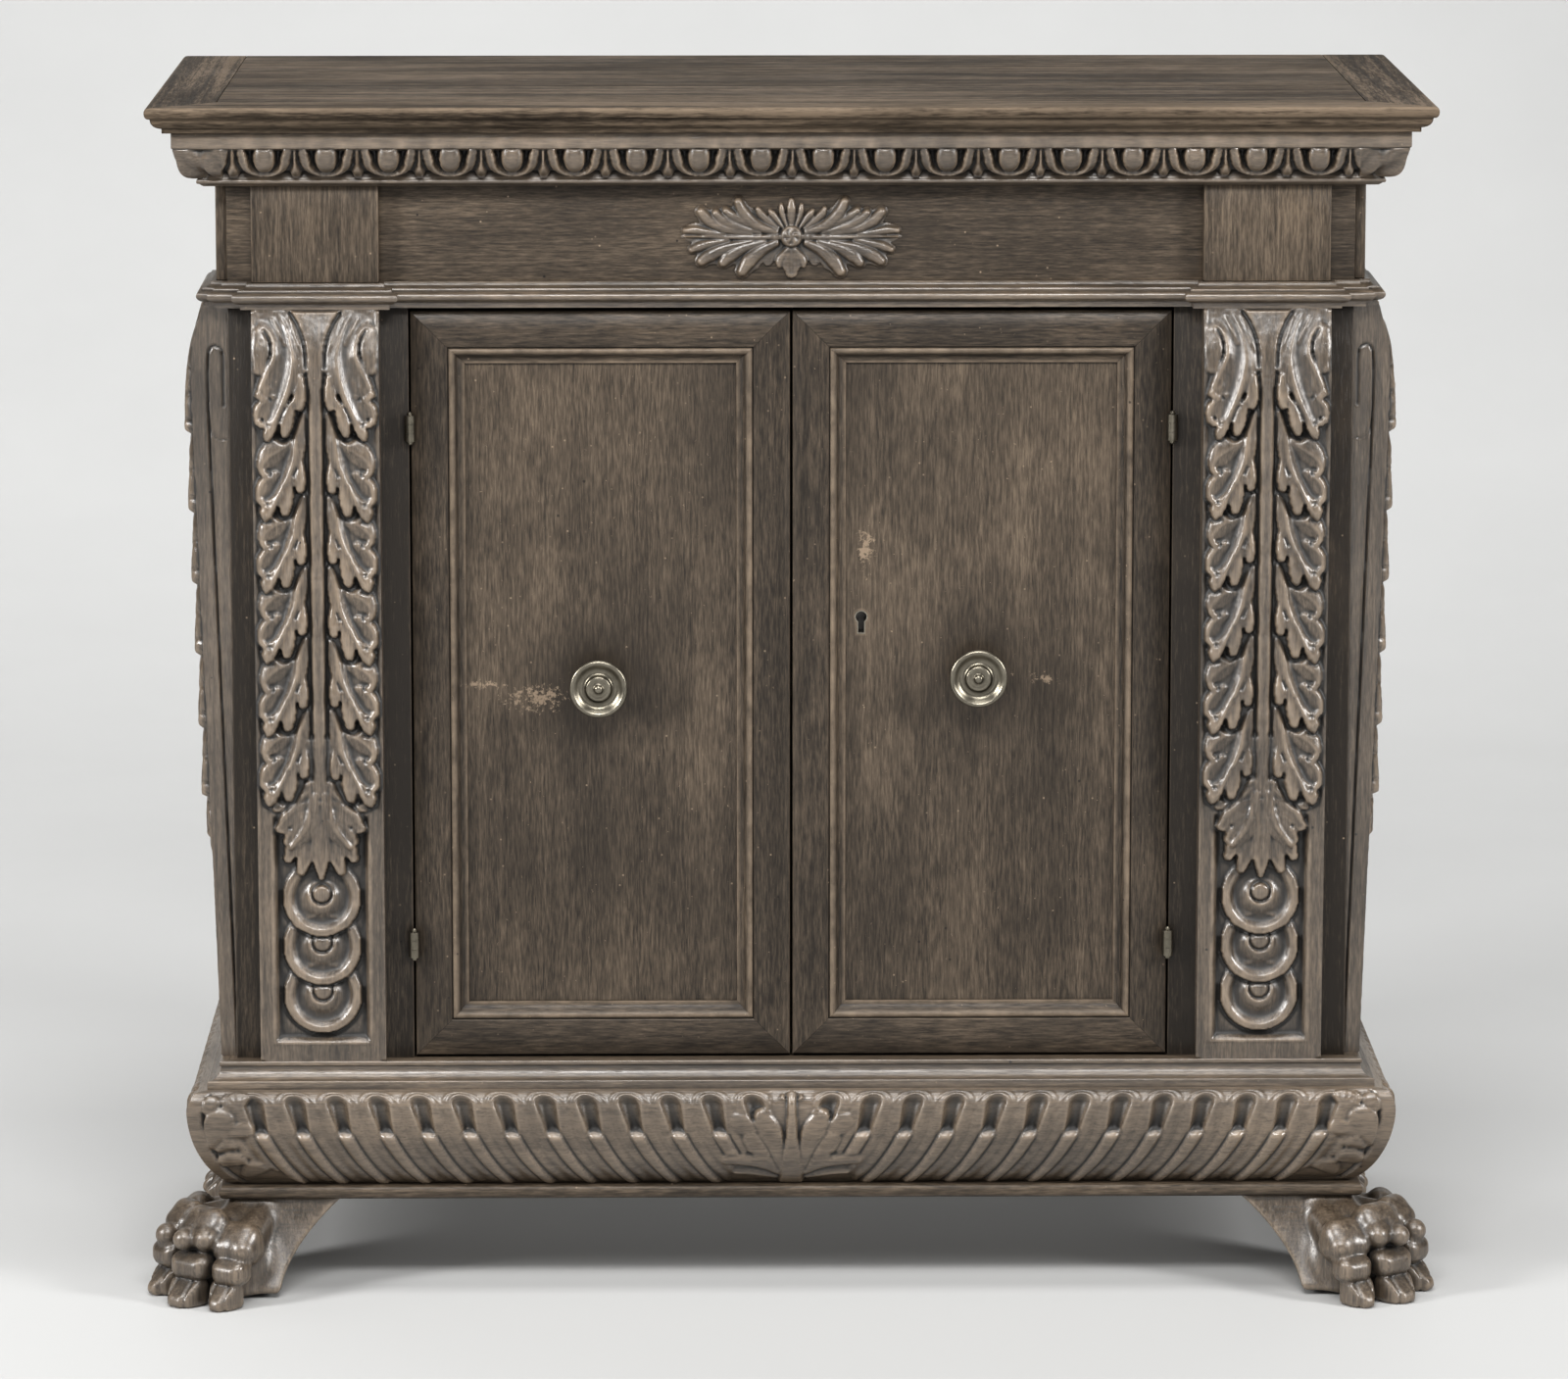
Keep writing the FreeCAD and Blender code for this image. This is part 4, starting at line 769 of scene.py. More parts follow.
# gadroons: arched flutes that turn into leaning ribs
G_KEYS = [(31.0, 178.0), (34.2, 176.6), (37.0, 173.6), (39.0, 169.0), (39.9, 163.0), (39.7, 155.0), (38.2, 146.0), (35.4, 135.0),
          (31.0, 124.0), (25.4, 113.5), (18.8, 104.5), (12.0, 97.6), (7.0, 93.6), (5.2, 92.0)]
GAD = [tuple(q) for q in curve_points(G_KEYS, 96)]
G_LEN = sum(math.dist(a, c) for a, c in zip(GAD[:-1], GAD[1:]))
G_PITCH = 35.2


G_HEAD = 39.0
GAD_S = np.concatenate([[0], np.cumsum([math.dist(a, c) for a, c in zip(GAD[:-1], GAD[1:])])])
GAD_Y = np.array([(1331 - z) * 1.2254 / (1 + (62 - o) / 2890) - 281 for o, z in GAD])


def arc_px(y):
    """Millimetres down the gadroon face for a picture row."""
    return np.interp(y, GAD_Y, GAD_S)


def lean(arc):
    return 9.5 * np.clip(arc / G_HEAD, 0, 1) + 34.0 * np.clip((arc - G_HEAD) / (G_LEN - G_HEAD), 0, 1) ** 1.12


def gadroon_lift(u, arc):
    """u: place across one unit, arc: millimetres down the face."""
    r = np.abs(u)
    half = G_PITCH / 2
    low = np.clip((arc - G_HEAD) / (G_LEN - G_HEAD), 0, 1)
    # flute above, rib below, parted by the rib's cut head
    head = G_HEAD + 2.6 * np.clip(r / 7.0, 0, 1.3) ** 2
    hw = 9.2 - 2.6 * smooth((arc - 8) / 30)
    d = np.hypot(r / hw, np.maximum(15.0 - arc, 0) / 9.5)
    above = arc < head
    flute = -7.0 * np.clip(1 - d ** 2, 0, 1) ** 0.9
    wr = 6.6 - 1.2 * low
    q = np.clip(r / wr, 0, 1)
    rib = 2.8 * np.sqrt(np.clip(1 - q ** 2, 0, 1)) + 0.1
    flat = np.where(d < 1, flute, 0.0)
    turn = smooth((arc - head + 1.6) / 4.2)
    lift = np.where(r < wr, flat * (1 - turn) + rib * turn, np.where(above, flat, 0.0))
    lift = lift + np.where(above, 0.5 * np.exp(-((d - 1.1) / 0.1) ** 2) * (d > 1), 0.0)
    # grooves along the rib, a plain band, and the cut line round each tongue
    lift = lift - 2.0 * np.exp(-((r - wr - 0.7) / 0.9) ** 2) * (arc > head - 3)
    lift = lift + 0.5 * np.exp(-((r - 11.6) / 2.2) ** 2) * smooth((arc - 20) / 10)
    rr = np.where(arc < half, np.hypot(u, arc - half), r)
    lift = lift - 0.8 * np.exp(-((rr - (half - 2.4)) / 0.6) ** 2)
    lift = lift + 0.5 * np.exp(-((rr - (half - 1.0)) / 0.7) ** 2) * (arc < half)
    lift = lift - 1.3 * np.exp(-((r - half) / 0.9) ** 2) * smooth((arc - half + 4) / 6)
    lift = np.where((arc < half) & (rr > half - 0.2), -0.5 * smooth((rr - half + 0.2) / 1.2), lift)
    return lift


def sample(fld, U, W, outside=None):
    """Bilinear look-up in a field."""
    x = np.clip((U - fld.u[0]) / (fld.u[1] - fld.u[0]), 0, len(fld.u) - 1.001)
    y = np.clip((W - fld.w[0]) / (fld.w[1] - fld.w[0]), 0, len(fld.w) - 1.001)
    i, j = y.astype(int), x.astype(int)
    fx, fy = x - j, y - i
    h = fld.H
    return (h[i, j] * (1 - fx) + h[i, j + 1] * fx) * (1 - fy) + (h[i + 1, j] * (1 - fx) + h[i + 1, j + 1] * fx) * fy


def low_leaf(u0, u1, ox, tongues, cuts, pits, start, off=None, both=False):
    """Low lobes on the gadroon face. Points in fifths of a picture unit from the left of (ox, 1105), turned to millimetres here."""
    fld = Field(u0, u1, 0.0, G_LEN, 0.7, start)
    k = 0.823 / 5.2

    def pt(x, y):
        edge = 0.0 if off is None else float(np.interp(y, [q[0] for q in off], [q[1] for q in off]))
        return ((x - ox - edge) * k, float(arc_px(1105 + y / 5.2)))

    for m in ((1, -1) if both else (1,)):
        for pts, w, h, crown in tongues:
            fld.tongue([(m * pt(*p)[0], pt(*p)[1]) for p in pts], [i * k for i in w], h, crown, 0.0, 0.4, 0.45)
        for pts, w, d in cuts:
            fld.line([(m * pt(*p)[0], pt(*p)[1]) for p in pts], w, d)
        for p, r, d in pits:
            fld.pit((m * pt(*p)[0], pt(*p)[1]), r, d)
    fld.H = soften(fld.H)
    return fld


CENTRE_LEAF = low_leaf(-68, 68, 552, [
    ([(410, 335), (345, 290), (285, 255), (258, 242)], [16, 42, 58, 48], [-0.8, 0.0, 0.6, 0.4], 1.5),
    ([(492, 485), (465, 400), (432, 300), (402, 222)], [18, 48, 72, 50], [-0.4, 0.4, 0.9, 0.7], 1.6),
    ([(475, 520), (400, 507), (320, 498), (250, 497)], [10, 20, 22, 16], [-0.4, 0.2, 0.4, 0.2], 1.2),
    ([(482, 500), (400, 458), (300, 440), (200, 437)], [16, 40, 40, 32], [0.0, 0.8, 1.0, 0.6], 1.6),
    ([(476, 490), (420, 430), (366, 375), (335, 335)], [14, 36, 54, 42], [0.2, 0.9, 1.2, 0.9], 1.6),
], [([(398, 180), (468, 230), (516, 305)], 0.9, 2.0), ([(362, 298), (424, 380), (478, 480)], 0.9, 2.0), ([(440, 425), (362, 406), (286, 402)], 0.9, 1.8),
    ([(338, 212), (352, 262), (398, 318)], 0.9, 1.5), ([(430, 494), (340, 476), (236, 480)], 0.8, 1.4)],
    [((290, 404), 1.4, 2.6), ((345, 428), 1.2, 2.2), ((330, 298), 1.0, 1.8), ((268, 480), 1.1, 2.0)], -1.6, both=True)
CENTRE_STEM = low_leaf(-68, 68, 552, [
    ([(552, 88), (552, 180), (552, 330), (550, 545)], [27, 23, 35, 74], [0.8, 1.7, 2.0, 1.6], 1.1),
    ([(505, 92), (500, 108), (512, 122)], [10, 14, 9], [0.2, 0.8, 0.4], 1.0), ([(598, 92), (604, 108), (592, 122)], [10, 14, 9], [0.2, 0.8, 0.4], 1.0),
], [], [((600, 338), 1.5, 2.6)], -9.0)
CORNER_EDGE = [(80, 104), (130, 60), (200, 36), (280, 45), (350, 75), (430, 130), (520, 205)]
CORNER_LEAF = low_leaf(-2, 74, 0, [
    ([(318, 160), (316, 130), (318, 100)], [36, 62, 48], [-0.6, 0.2, 0.0], 1.2),
    ([(345, 505), (405, 472), (440, 466)], [24, 50, 40], [-0.2, 0.4, 0.2], 1.4),
    ([(250, 320), (305, 290), (345, 278)], [20, 44, 44], [0.0, 0.5, 0.5], 1.5),
    ([(155, 358), (178, 300), (205, 240), (215, 232)], [34, 62, 84, 72], [0.2, 0.8, 1.1, 0.9], 1.7),
    ([(215, 378), (248, 360), (272, 356)], [28, 42, 38], [0.2, 0.7, 0.5], 1.5),
    ([(235, 445), (288, 428), (318, 424)], [32, 48, 44], [0.4, 1.0, 0.8], 1.7),
    ([(135, 165), (155, 130), (185, 140), (190, 165)], [28, 40, 38, 26], [0.2, 0.8, 0.8, 0.4], 1.5),
], [([(118, 222), (160, 186), (230, 172), (304, 208)], 0.8, 1.7), ([(195, 372), (240, 326), (380, 326)], 0.8, 1.6), ([(205, 408), (290, 382), (366, 404)], 0.8, 1.8),
    ([(270, 90), (302, 150)], 0.6, 0.9), ([(314, 78), (314, 150)], 0.6, 0.9), ([(358, 92), (330, 150)], 0.6, 0.9)],
    [((205, 155), 1.4, 2.6), ((150, 100), 1.1, 1.8), ((330, 345), 1.2, 2.0), ((280, 235), 1.2, 1.8), ((372, 330), 1.2, 1.8)], -1.6, off=CORNER_EDGE)


def corner_cover(back, arc, lift):
    """Lays the corner leaf and the plain strip along the mitre over the flutes. back: millimetres from the mitre."""
    cor = sample(CORNER_LEAF, back, arc)
    reach = 27.0 + 36.0 * smooth((arc - 40) / 60)
    cover = smooth((reach - back) / 3.0)
    on = cor > -1.2
    lift = lift * (1 - cover) + np.minimum(lift, -1.6) * cover
    lift = np.where(on & (back < 72), np.maximum(cor, lift), lift)
    strip = smooth((11.5 - back) / 1.2)
    lift = lift * (1 - strip) + 0.6 * strip
    return lift - 1.8 * np.exp(-((back - 12.2) / 0.8) ** 2)


def gadroon_front_lift(A, arc, edge):
    x = np.abs(A) + lean(arc)
    u = (x - G_PITCH * 0.5) % G_PITCH - G_PITCH / 2
    lift = gadroon_lift(u, arc)
    r = np.abs(A)
    mid = sample(CENTRE_LEAF, A, arc)
    on = (mid > -1.3) & (r < 66)
    ground = smooth((20 + 34 * smooth((arc - 20) / 70) - r) / 4.0)
    lift = lift * (1 - ground) + np.maximum(np.minimum(lift, -1.4), -3.2) * ground
    lift = np.where(on, np.maximum(mid, np.minimum(lift, 0.4)), lift)
    stem = sample(CENTRE_STEM, A, arc)
    lift = np.where((stem > -2) & (r < 66), np.maximum(stem, lift), lift)
    out = np.interp(arc, GAD_S, [q[0] for q in GAD])
    lift = corner_cover(CH + out - r, arc, lift)
    ends = smooth(arc / 3.0) * smooth((G_LEN - arc) / 4.0)
    return soften(lift) * ends


def gadroon_side_lift(A, arc, edge):
    x = (A - 39.0) + lean(arc)
    u = (x + G_PITCH * 0.5) % G_PITCH - G_PITCH / 2
    lift = gadroon_lift(u, arc)
    out = np.interp(arc, GAD_S, [q[0] for q in GAD])
    lift = corner_cover(A - (FP - out), arc, lift)
    ends = smooth(arc / 3.0) * smooth((G_LEN - arc) / 4.0)
    return soften(lift) * ends


GB = [(0.0, 92.0), (0.0, 178.0)]
v, f, c = carved_run("gadroon_front", GAD, (0, len(GAD) - 1), gadroon_front_lift, place_front, (-CH, CH), True, True, GB, 1.12, "x", CARVED, "carved_walnut", 3)
Build("gadroon_front").add(v, f, cav=c, grain="x", seed=541, tone=0.23, weld=True).object("carcass", CARVED, "carved_walnut", ["gadroon_front"], sharp=60)
for nm, pl, sd in (("gadroon_left", place_left, 542), ("gadroon_right", place_right, 543)):
    v, f, c = carved_run(nm, GAD, (0, len(GAD) - 1), gadroon_side_lift, pl, (FP, BACK), True, False, GB, 1.12, "y", CARVED, "carved_walnut", 4)
    Build(nm).add(v, f, cav=c, grain="y", seed=sd, tone=0.23, weld=True).object("carcass", CARVED, "carved_walnut", [nm], sharp=60)

# bottom board with a half-round edge
BOT = [(0.0, 92.0), (12.0, 92.0)] + [(11.0 + 5.0 * math.cos(t), 86.0 + 6.0 * math.sin(t)) for t in np.linspace(math.pi / 2 * 0.9, -math.pi / 2 * 0.9, 9)] + [(12.0, 80.0), (0.0, 80.0)]
b = Build("bottom_frame")
x0, x1, y0, y1 = -CH, CH, FP, BACK
rings = []
verts, faces, cv = [], [], []
for o, z in BOT:
    verts += [(-CH - o, FP - o, z), (CH + o, FP - o, z), (CH + o, BACK, z), (-CH - o, BACK, z)]
    cv += [0.25 if o > 14 else 0.0] * 4
n = len(BOT)
for i in range(n - 1):
    for j in range(4):
        k = (j + 1) % 4
        faces.append([i * 4 + j, i * 4 + k, (i + 1) * 4 + k, (i + 1) * 4 + j])
faces += [[0, 1, 2, 3][::-1], [(n - 1) * 4 + j for j in range(4)]]
b.add(verts, faces, cav=cv, grain="x", seed=551, tone=0.12)
b.object("carcass", CASE, "case_walnut", ["bottom_frame"], sharp=40)


# ---------------------------------------------------------------------------------------------- pilasters
K = 0.8274                                    # millimetres per picture unit on the front plane


LEAF_CREST = [(-11.1, -113), (-17.2, -93.2), (-20.3, -77.8), (-22.6, -59.4), (-26.5, -47.1), (-32.3, -33.2), (-39.5, -19.4), (-45.7, -7.1), (-51.5, 1.4)]
LEAF_TROUGH = [(-26, -74), (-31, -58), (-37, -43), (-43, -29), (-48, -15), (-51, -3)]
LEAF_RIM_A = [(-26, -73), (-35.7, -67.6), (-42.6, -63.7), (-49.1, -58.6), (-53.4, -52.5), (-54.5, -46.5)]
LEAF_RIM_B = [(-41, -43.5), (-49.5, -38.6), (-54.9, -32.5), (-57.5, -24.8), (-57, -17)]
LEAF_RIM_C = [(-47, -16.5), (-51.6, -12), (-54, -5.5), (-53, 0.5)]


def zpx(y):
    return 1331 - (y + 281) * K


class Half:
    """One side of a leaf: picture units from the stem and from the tip, mirrored for the other side."""

    def __init__(self, F, side, sx, tip, jig=0.0):
        self.F, self.side, self.sx, self.tip, self.jig = F, side, sx, tip, jig

    def at(self, p):
        return [(-self.side * x * K * self.sx, self.tip - (y + self.jig * self.side) * K) for x, y in p]

    def rise(self, p, h):
        """A leaf lies low where it leaves the one above and stands out at its tip."""
        y = np.interp(np.linspace(0, 1, len(h)), np.linspace(0, 1, len(p)), [i[1] for i in p])
        return [a + np.interp(b, [-92, 0], [-1.7, 3.1]) for a, b in zip(h, y)]

    def lip(self, p, h, w_in, w_out, f_in, f_out, p_in=1.3, p_out=1.3):
        """w_in: reach towards the stem or downwards, w_out: the other way."""
        h = self.rise(p, h)
        w_in, w_out = [i * K for i in w_in], [i * K for i in w_out]
        if self.side < 0:
            self.F.lip(self.at(p), h, w_in, w_out, f_in, f_out, p_in, p_out)
        else:
            self.F.lip(self.at(p), h, w_out, w_in, f_out, f_in, p_out, p_in)

    def tongue(self, p, w, h, crown, groove=0.0, gw=0.4, power=0.55):
        self.F.tongue(self.at(p), [i * K for i in w], self.rise(p, h), crown, groove, gw, power)

    def line(self, p, w, d):
        self.F.line(self.at(p), w * K, d)

    def pit(self, p, r, d):
        self.F.pit(self.at([p])[0], r * K, d)


def add_leaf(F, tip, sx, jig=0.0):
    for side in (-1, 1):
        g = Half(F, side, sx, tip, jig)
        # shade under this leaf's ends, cut into the leaf below
        g.line([(-41, -2.5), (-33, 2.4), (-25.5, -3.5), (-20, -14), (-15.5, -23), (-11, -25.5)], 3.0, 3.6)
        g.line([(-58, -12), (-57, -3), (-54, 5), (-46, 5)], 2.0, 1.6)
        g.tongue(LEAF_TROUGH, [8, 12, 13, 11.5, 8, 3.5], [1.0, 1.0, 1.1, 1.4, 2.2, 3.2], 0.2, power=0.5)
        # scooped lobes: a lip above, the hollow below it
        g.lip(LEAF_RIM_A, [4.2, 5.2, 5.7, 5.9, 5.6, 4.6], [7, 9, 10, 10, 7, 4], [12, 14, 14, 11, 7, 3.6], [1.8, 3.0, 3.4, 3.4, 3.0, 2.4], [1.8, 2.6, 3.0, 3.2, 3.0, 2.4], 0.62, 1.7)
        g.tongue([(-54.3, -48), (-52, -44), (-48.6, -43)], [3.4, 3.9, 2.6], [4.0, 4.2, 3.6], 1.4)
        g.lip(LEAF_RIM_B, [3.8, 5.2, 5.7, 5.5, 4.5], [6, 9, 10, 8, 4], [4, 5, 5, 4, 3.4], [1.8, 2.8, 3.0, 2.8, 2.4], [1.6, 2.4, 2.8, 2.8, 2.4], 0.62, 1.5)
        g.tongue([(-56.7, -18), (-54.2, -14.4), (-51, -13.6)], [3.2, 3.5, 2.4], [3.8, 4.0, 3.6], 1.3)
        g.tongue([(-40.5, -19), (-45.7, -10.2), (-49.5, -2.5), (-51.5, 2)], [4.5, 6.0, 5.2, 2.6], [4.2, 4.6, 4.8, 4.2], 1.2)
        g.lip(LEAF_RIM_C, [4.2, 5.2, 5.4, 4.6], [3, 3, 3, 2.4], [3, 3.4, 3.2, 2.6], [1.4, 1.8, 1.8, 1.4], [1.6, 2.4, 2.6, 2.2])
        g.pit((-45.7, -43.0), 1.9, 3.4)
        g.pit((-49.0, -13.4), 1.7, 3.0)
        # the crest: a broad flank to the stem, a steep one to the hollow
        g.lip(LEAF_CREST, [3.4, 5.4, 6.6, 7.2, 7.5, 7.6, 7.6, 7.0, 5.6], [2.5, 8.5, 11.5, 10.0, 6.5, 4.6, 4.4, 4.2, 2.5], [4, 5.5, 6.5, 6.5, 5.5, 5, 4.5, 4, 2.5],
              [1.5, 3.2, 4.0, 3.5, 2.5, 2.2, 2.4, 2.2, 1.6], [2.0, 3.6, 4.8, 5.0, 5.0, 4.8, 4.2, 3.2, 2.0], 1.05, 0.8)
        # inner lobes, rounded
        g.line([(-19.6, -50), (-23.4, -40), (-24, -32), (-20.5, -25)], 1.2, 2.0)
        g.tongue([(-15.0, -55), (-15.6, -46), (-16.6, -37), (-16.4, -29)], [2.6, 5.0, 6.6, 4.8], [2.6, 3.8, 4.6, 4.2], 2.1)
        g.line([(-31, -33), (-36, -20), (-38.6, -8)], 1.1, 1.8)
        g.tongue([(-24.2, -39), (-28.3, -26), (-31.0, -14), (-31.4, -6)], [3.2, 6.4, 7.4, 5.0], [4.2, 4.9, 5.1, 4.4], 1.9)
        g.pit((-38.8, -3.6), 2.3, 4.0)


def carve_pilaster(width, cell):
    """Hanging acanthus over a framed string of coins. u across, w up."""
    sx = width / 106.0
    F = Field(-width / 2, width / 2, 200.0, 842.0, cell)
    edge = width / 2 - np.abs(F.U)
    F.H += 1.3 * smooth((3.4 - edge) / 0.8)
    # sunk panel of the coins
    top, bot = zpx(838), zpx(1059)
    ins = np.minimum(np.minimum(40.6 * sx - np.abs(F.U), F.W - (bot - 6)), top + 8 - F.W)
    F.H -= 5.4 * smooth(ins / 6.0)
    F.H += 0.8 * np.exp(-((ins + 0.8) / 0.9) ** 2)
    for yc in (1017, 966, 915):
        zc = zpx(yc)
        r = np.hypot(F.U, F.W - zc)
        tilt = -(F.W - zc) / 33.0 * 3.0
        up = F.W - (zc + 3.6)
        rb = np.hypot(F.U, up)
        h = np.full(r.shape, -0.6)
        h = np.where(r < 27.0, -0.6 - 4.4 * smooth((r - 9.0) / 10.0) * (1 - smooth((r - 20.5) / 6.5)), h)
        h = h + 0.7 * np.exp(-((r - 27.6) / 0.9) ** 2)
        h = h + 1.3 * np.exp(-((rb - 10.6) / 1.5) ** 2) * smooth((5 - up) / 6)
        h = h - 3.4 * np.exp(-((rb - 8.3) / 0.9) ** 2)
        h = np.where(rb < 7.4, -1.0 + 1.6 * np.sqrt(np.clip(1 - (rb / 7.4) ** 2, 0, 1)), h)
        h = h - 0.5 * np.exp(-((r - 31.8) / 0.8) ** 2) + tilt
        under = (r < 37) & (r >= 33) & (F.W < zc + 6)
        F.H = np.where(under, F.H - 2.0 * (1 - (r - 33) / 4.0), F.H)
        F.H = np.where(r < 33.0 * min(1.0, sx + 0.03), np.maximum(F.H, h), F.H)

    def B(p, side):
        return [(side * x * K * sx, zpx(y)) for x, y in p]
    # ground under the last leaves, so that no bare field shows between them
    for side in (-1, 1):
        F.tongue(B([(8, 760), (16, 800), (20, 840), (14, 866)], side), [10, 18, 17, 8], [1.6, 2.2, 2.2, 1.2], 1.0)
    # bud at the foot of the leaves
    for side in (-1, 1):
        F.tongue(B([(4, 828), (15, 843), (26, 858), (33, 873)], side), [6.4, 9.0, 8.0, 4.2], [1.4, 2.6, 3.0, 1.8], 2.4, 1.2)
        F.tongue(B([(3, 838), (10, 858), (17, 874), (20, 886)], side), [6.0, 7.8, 7.0, 3.8], [1.8, 3.2, 3.4, 2.0], 2.2, 1.0)
    F.tongue([(0, zpx(818)), (0, zpx(848)), (0, zpx(874)), (0, zpx(893))], [5.2, 8.0, 7.4, 2.4], [3.0, 4.6, 4.8, 2.8], 2.2, 1.5)
    # the last small pair
    for side in (-1, 1):
        def S(p):
            return [(side * x * K * sx, zpx(860) - y * K) for x, y in p]
        F.tongue(S([(10, -62), (22, -58), (34, -52), (43, -42)]), [6, 9.0, 9.0, 5.4], [2.2, 3.6, 4.2, 2.8], 2.3, 1.3)
        F.tongue(S([(12, -42), (22, -36), (32, -28), (40, -19)]), [6, 8.4, 8.0, 5.0], [2.4, 4.0, 4.4, 3.0], 2.2, 1.2)
        F.tongue(S([(12, -26), (20, -20), (28, -12), (34, -5)]), [5, 7.0, 6.4, 3.8], [2.6, 4.2, 4.6, 3.2], 2.1, 1.0)
        F.pit(S([(34, -40)])[0], 1.6, 2.6)
        F.pit(S([(31, -20)])[0], 1.5, 2.4)
        F.tongue(S([(7, -40), (11, -26), (17, -13), (24, -3)]), [4.6, 7.0, 6.6, 3.6], [2.8, 4.8, 5.2, 4.0], 2.1, 1.1)
        F.tongue(S([(6, -52), (9, -36), (16, -18), (30, 0)]), [4.4, 3.8, 3.2, 2.2], [3.4, 5.2, 6.4, 5.8], 1.6)
    for n, tip in enumerate((814, 740, 666, 592, 519)):
        add_leaf(F, zpx(tip), sx, (0.8, -0.6, 1.0, -0.4, 0.5)[n])
    # stem
    for side in (-1, 1):
        F.line([(side * 7.2, zpx(420)), (side * 7.1, zpx(600)), (side * 6.5, zpx(830))], 1.0, 1.6)
    F.tongue([(0, zpx(405)), (0, zpx(520)), (0, zpx(680)), (0, zpx(838))], [5.7, 5.6, 5.4, 4.4], [2.8, 3.0, 3.0, 2.4], 0.8, power=0.3)
    # the big leaf at the head
    for side in (-1, 1):
        g = Half(F, side, sx, zpx(437))
        g.line([(-40, -1.5), (-32, 3.4), (-25, -3), (-20, -14), (-15, -26), (-10.5, -29)], 3.0, 3.6)
        g.tongue([(-34, -119), (-32.3, -100), (-32.6, -83), (-33.6, -65), (-37, -49), (-42, -32), (-47, -16)], [10, 10, 10, 10, 9.5, 8.5, 6], [1.8, 2.0, 2.2, 2.4, 2.6, 2.8, 3.2], 0.2, power=0.5)
        g.tongue([(-14, -120), (-13, -104), (-12.5, -88), (-14, -70)], [9, 8, 7, 7], [2.2, 2.8, 3.2, 3.4], 0.3, power=0.5)
        # boss at the outer corner, with a dark crescent beside it
        g.tongue([(-55, -105), (-54, -88), (-56, -69)], [7.5, 9.8, 6.5], [2.6, 3.4, 2.8], 1.9)
        g.line([(-51, -107), (-45.3, -96), (-44.3, -84), (-47.5, -71)], 1.2, 2.6)
        g.lip([(-54, -113), (-44.5, -104), (-40, -90.4), (-40.7, -79), (-46.4, -66), (-52.9, -51.9), (-56.6, -42)], [3.4, 5.2, 6.0, 6.2, 6.0, 5.6, 4.6],
              [5, 8, 9, 9, 9, 8, 4], [2.5, 3.2, 3.8, 4.6, 5.5, 5, 4], [1.8, 3.2, 3.8, 3.8, 3.4, 3.0, 2.2], [1.4, 2.0, 2.4, 2.4, 2.4, 2.6, 2.4], 0.62, 1.4)
        g.tongue([(-47, -62), (-49.5, -52), (-51.5, -44)], [4, 5.5, 5], [3.2, 3.6, 3.6], 1.2)
        g.tongue([(-56.4, -44), (-53, -39.6), (-48.6, -38.6)], [3.6, 4.0, 2.8], [4.2, 4.4, 3.8], 1.4)
        g.lip([(-40.5, -40.6), (-50, -36.1), (-56.4, -30.4), (-59, -22), (-57.9, -14.7)], [3.8, 5.2, 5.7, 5.5, 4.5], [6, 9, 10, 8, 4], [4, 5, 5, 4, 3], [1.8, 2.8, 3.0, 2.8, 2.4], [1.6, 2.4, 2.8, 2.8, 2.4], 0.62, 1.5)
        g.tongue([(-57.5, -16), (-54, -12.4), (-50.5, -12)], [3.3, 3.7, 2.5], [4.0, 4.2, 3.8], 1.4)
        g.tongue([(-38, -20), (-44, -10.2), (-47.5, -2.5), (-49, 2)], [4.5, 6.2, 5.6, 2.8], [4.2, 4.6, 4.8, 4.2], 1.2)
        g.pit((-45.2, -38.8), 1.9, 3.2)
        g.pit((-48.0, -12.2), 1.7, 3.0)
        # small flutes in the head of the leaf
        g.lip([(-43, -118), (-36.5, -106), (-30.5, -93)], [3.0, 4.4, 4.0], [2.6, 2.8, 2.4], [2.6, 2.8, 2.4], [1.4, 1.8, 1.6], [1.4, 1.8, 1.6])
        g.lip([(-25.5, -118), (-20.7, -103.3), (-16.4, -93.3), (-12.6, -84)], [3.0, 4.6, 5.0, 4.2], [2.8, 3.0, 2.8, 2.4], [2.8, 3.2, 3.0, 2.4], [1.4, 1.8, 1.8, 1.6], [1.4, 1.8, 1.8, 1.6])
        g.lip([(-36, -122), (-28, -106), (-22.9, -86.1), (-22.9, -71.9), (-25.7, -57.6), (-30, -43.3), (-35.7, -29), (-42.1, -14.7), (-48.6, 1)],
              [2.6, 4.8, 6.4, 7.2, 7.6, 7.8, 7.6, 7.0, 5.6], [3, 6, 9, 12, 11, 6, 5, 4.5, 2.5], [4, 6, 8, 8.5, 8, 7, 6, 4.5, 2.5],
              [1.2, 2.2, 3.0, 3.6, 3.4, 2.6, 2.6, 2.2, 1.6], [1.6, 3.0, 4.6, 5.2, 5.2, 5.0, 4.4, 3.2, 2.0], 0.95, 0.75)
        g.line([(-19.5, -52), (-24, -41), (-24, -33), (-20.5, -27)], 1.2, 2.0)
        g.tongue([(-14.6, -60), (-15.2, -48), (-16, -38), (-16, -31.5)], [4.0, 6.6, 7.2, 5.2], [4.0, 4.8, 5.2, 4.6], 1.9)
        g.line([(-30, -30), (-34.6, -18), (-37, -6)], 1.1, 1.8)
        g.tongue([(-22.5, -36), (-26.4, -23), (-29, -12), (-30.6, -4)], [3.2, 6.2, 7.0, 4.6], [4.2, 4.9, 5.1, 4.4], 1.9)
        g.pit((-37.6, -2.2), 2.4, 4.0)
        g.line([(-25, -124), (-15.5, -109), (-10.6, -93), (-9, -70)], 1.4, 2.4)
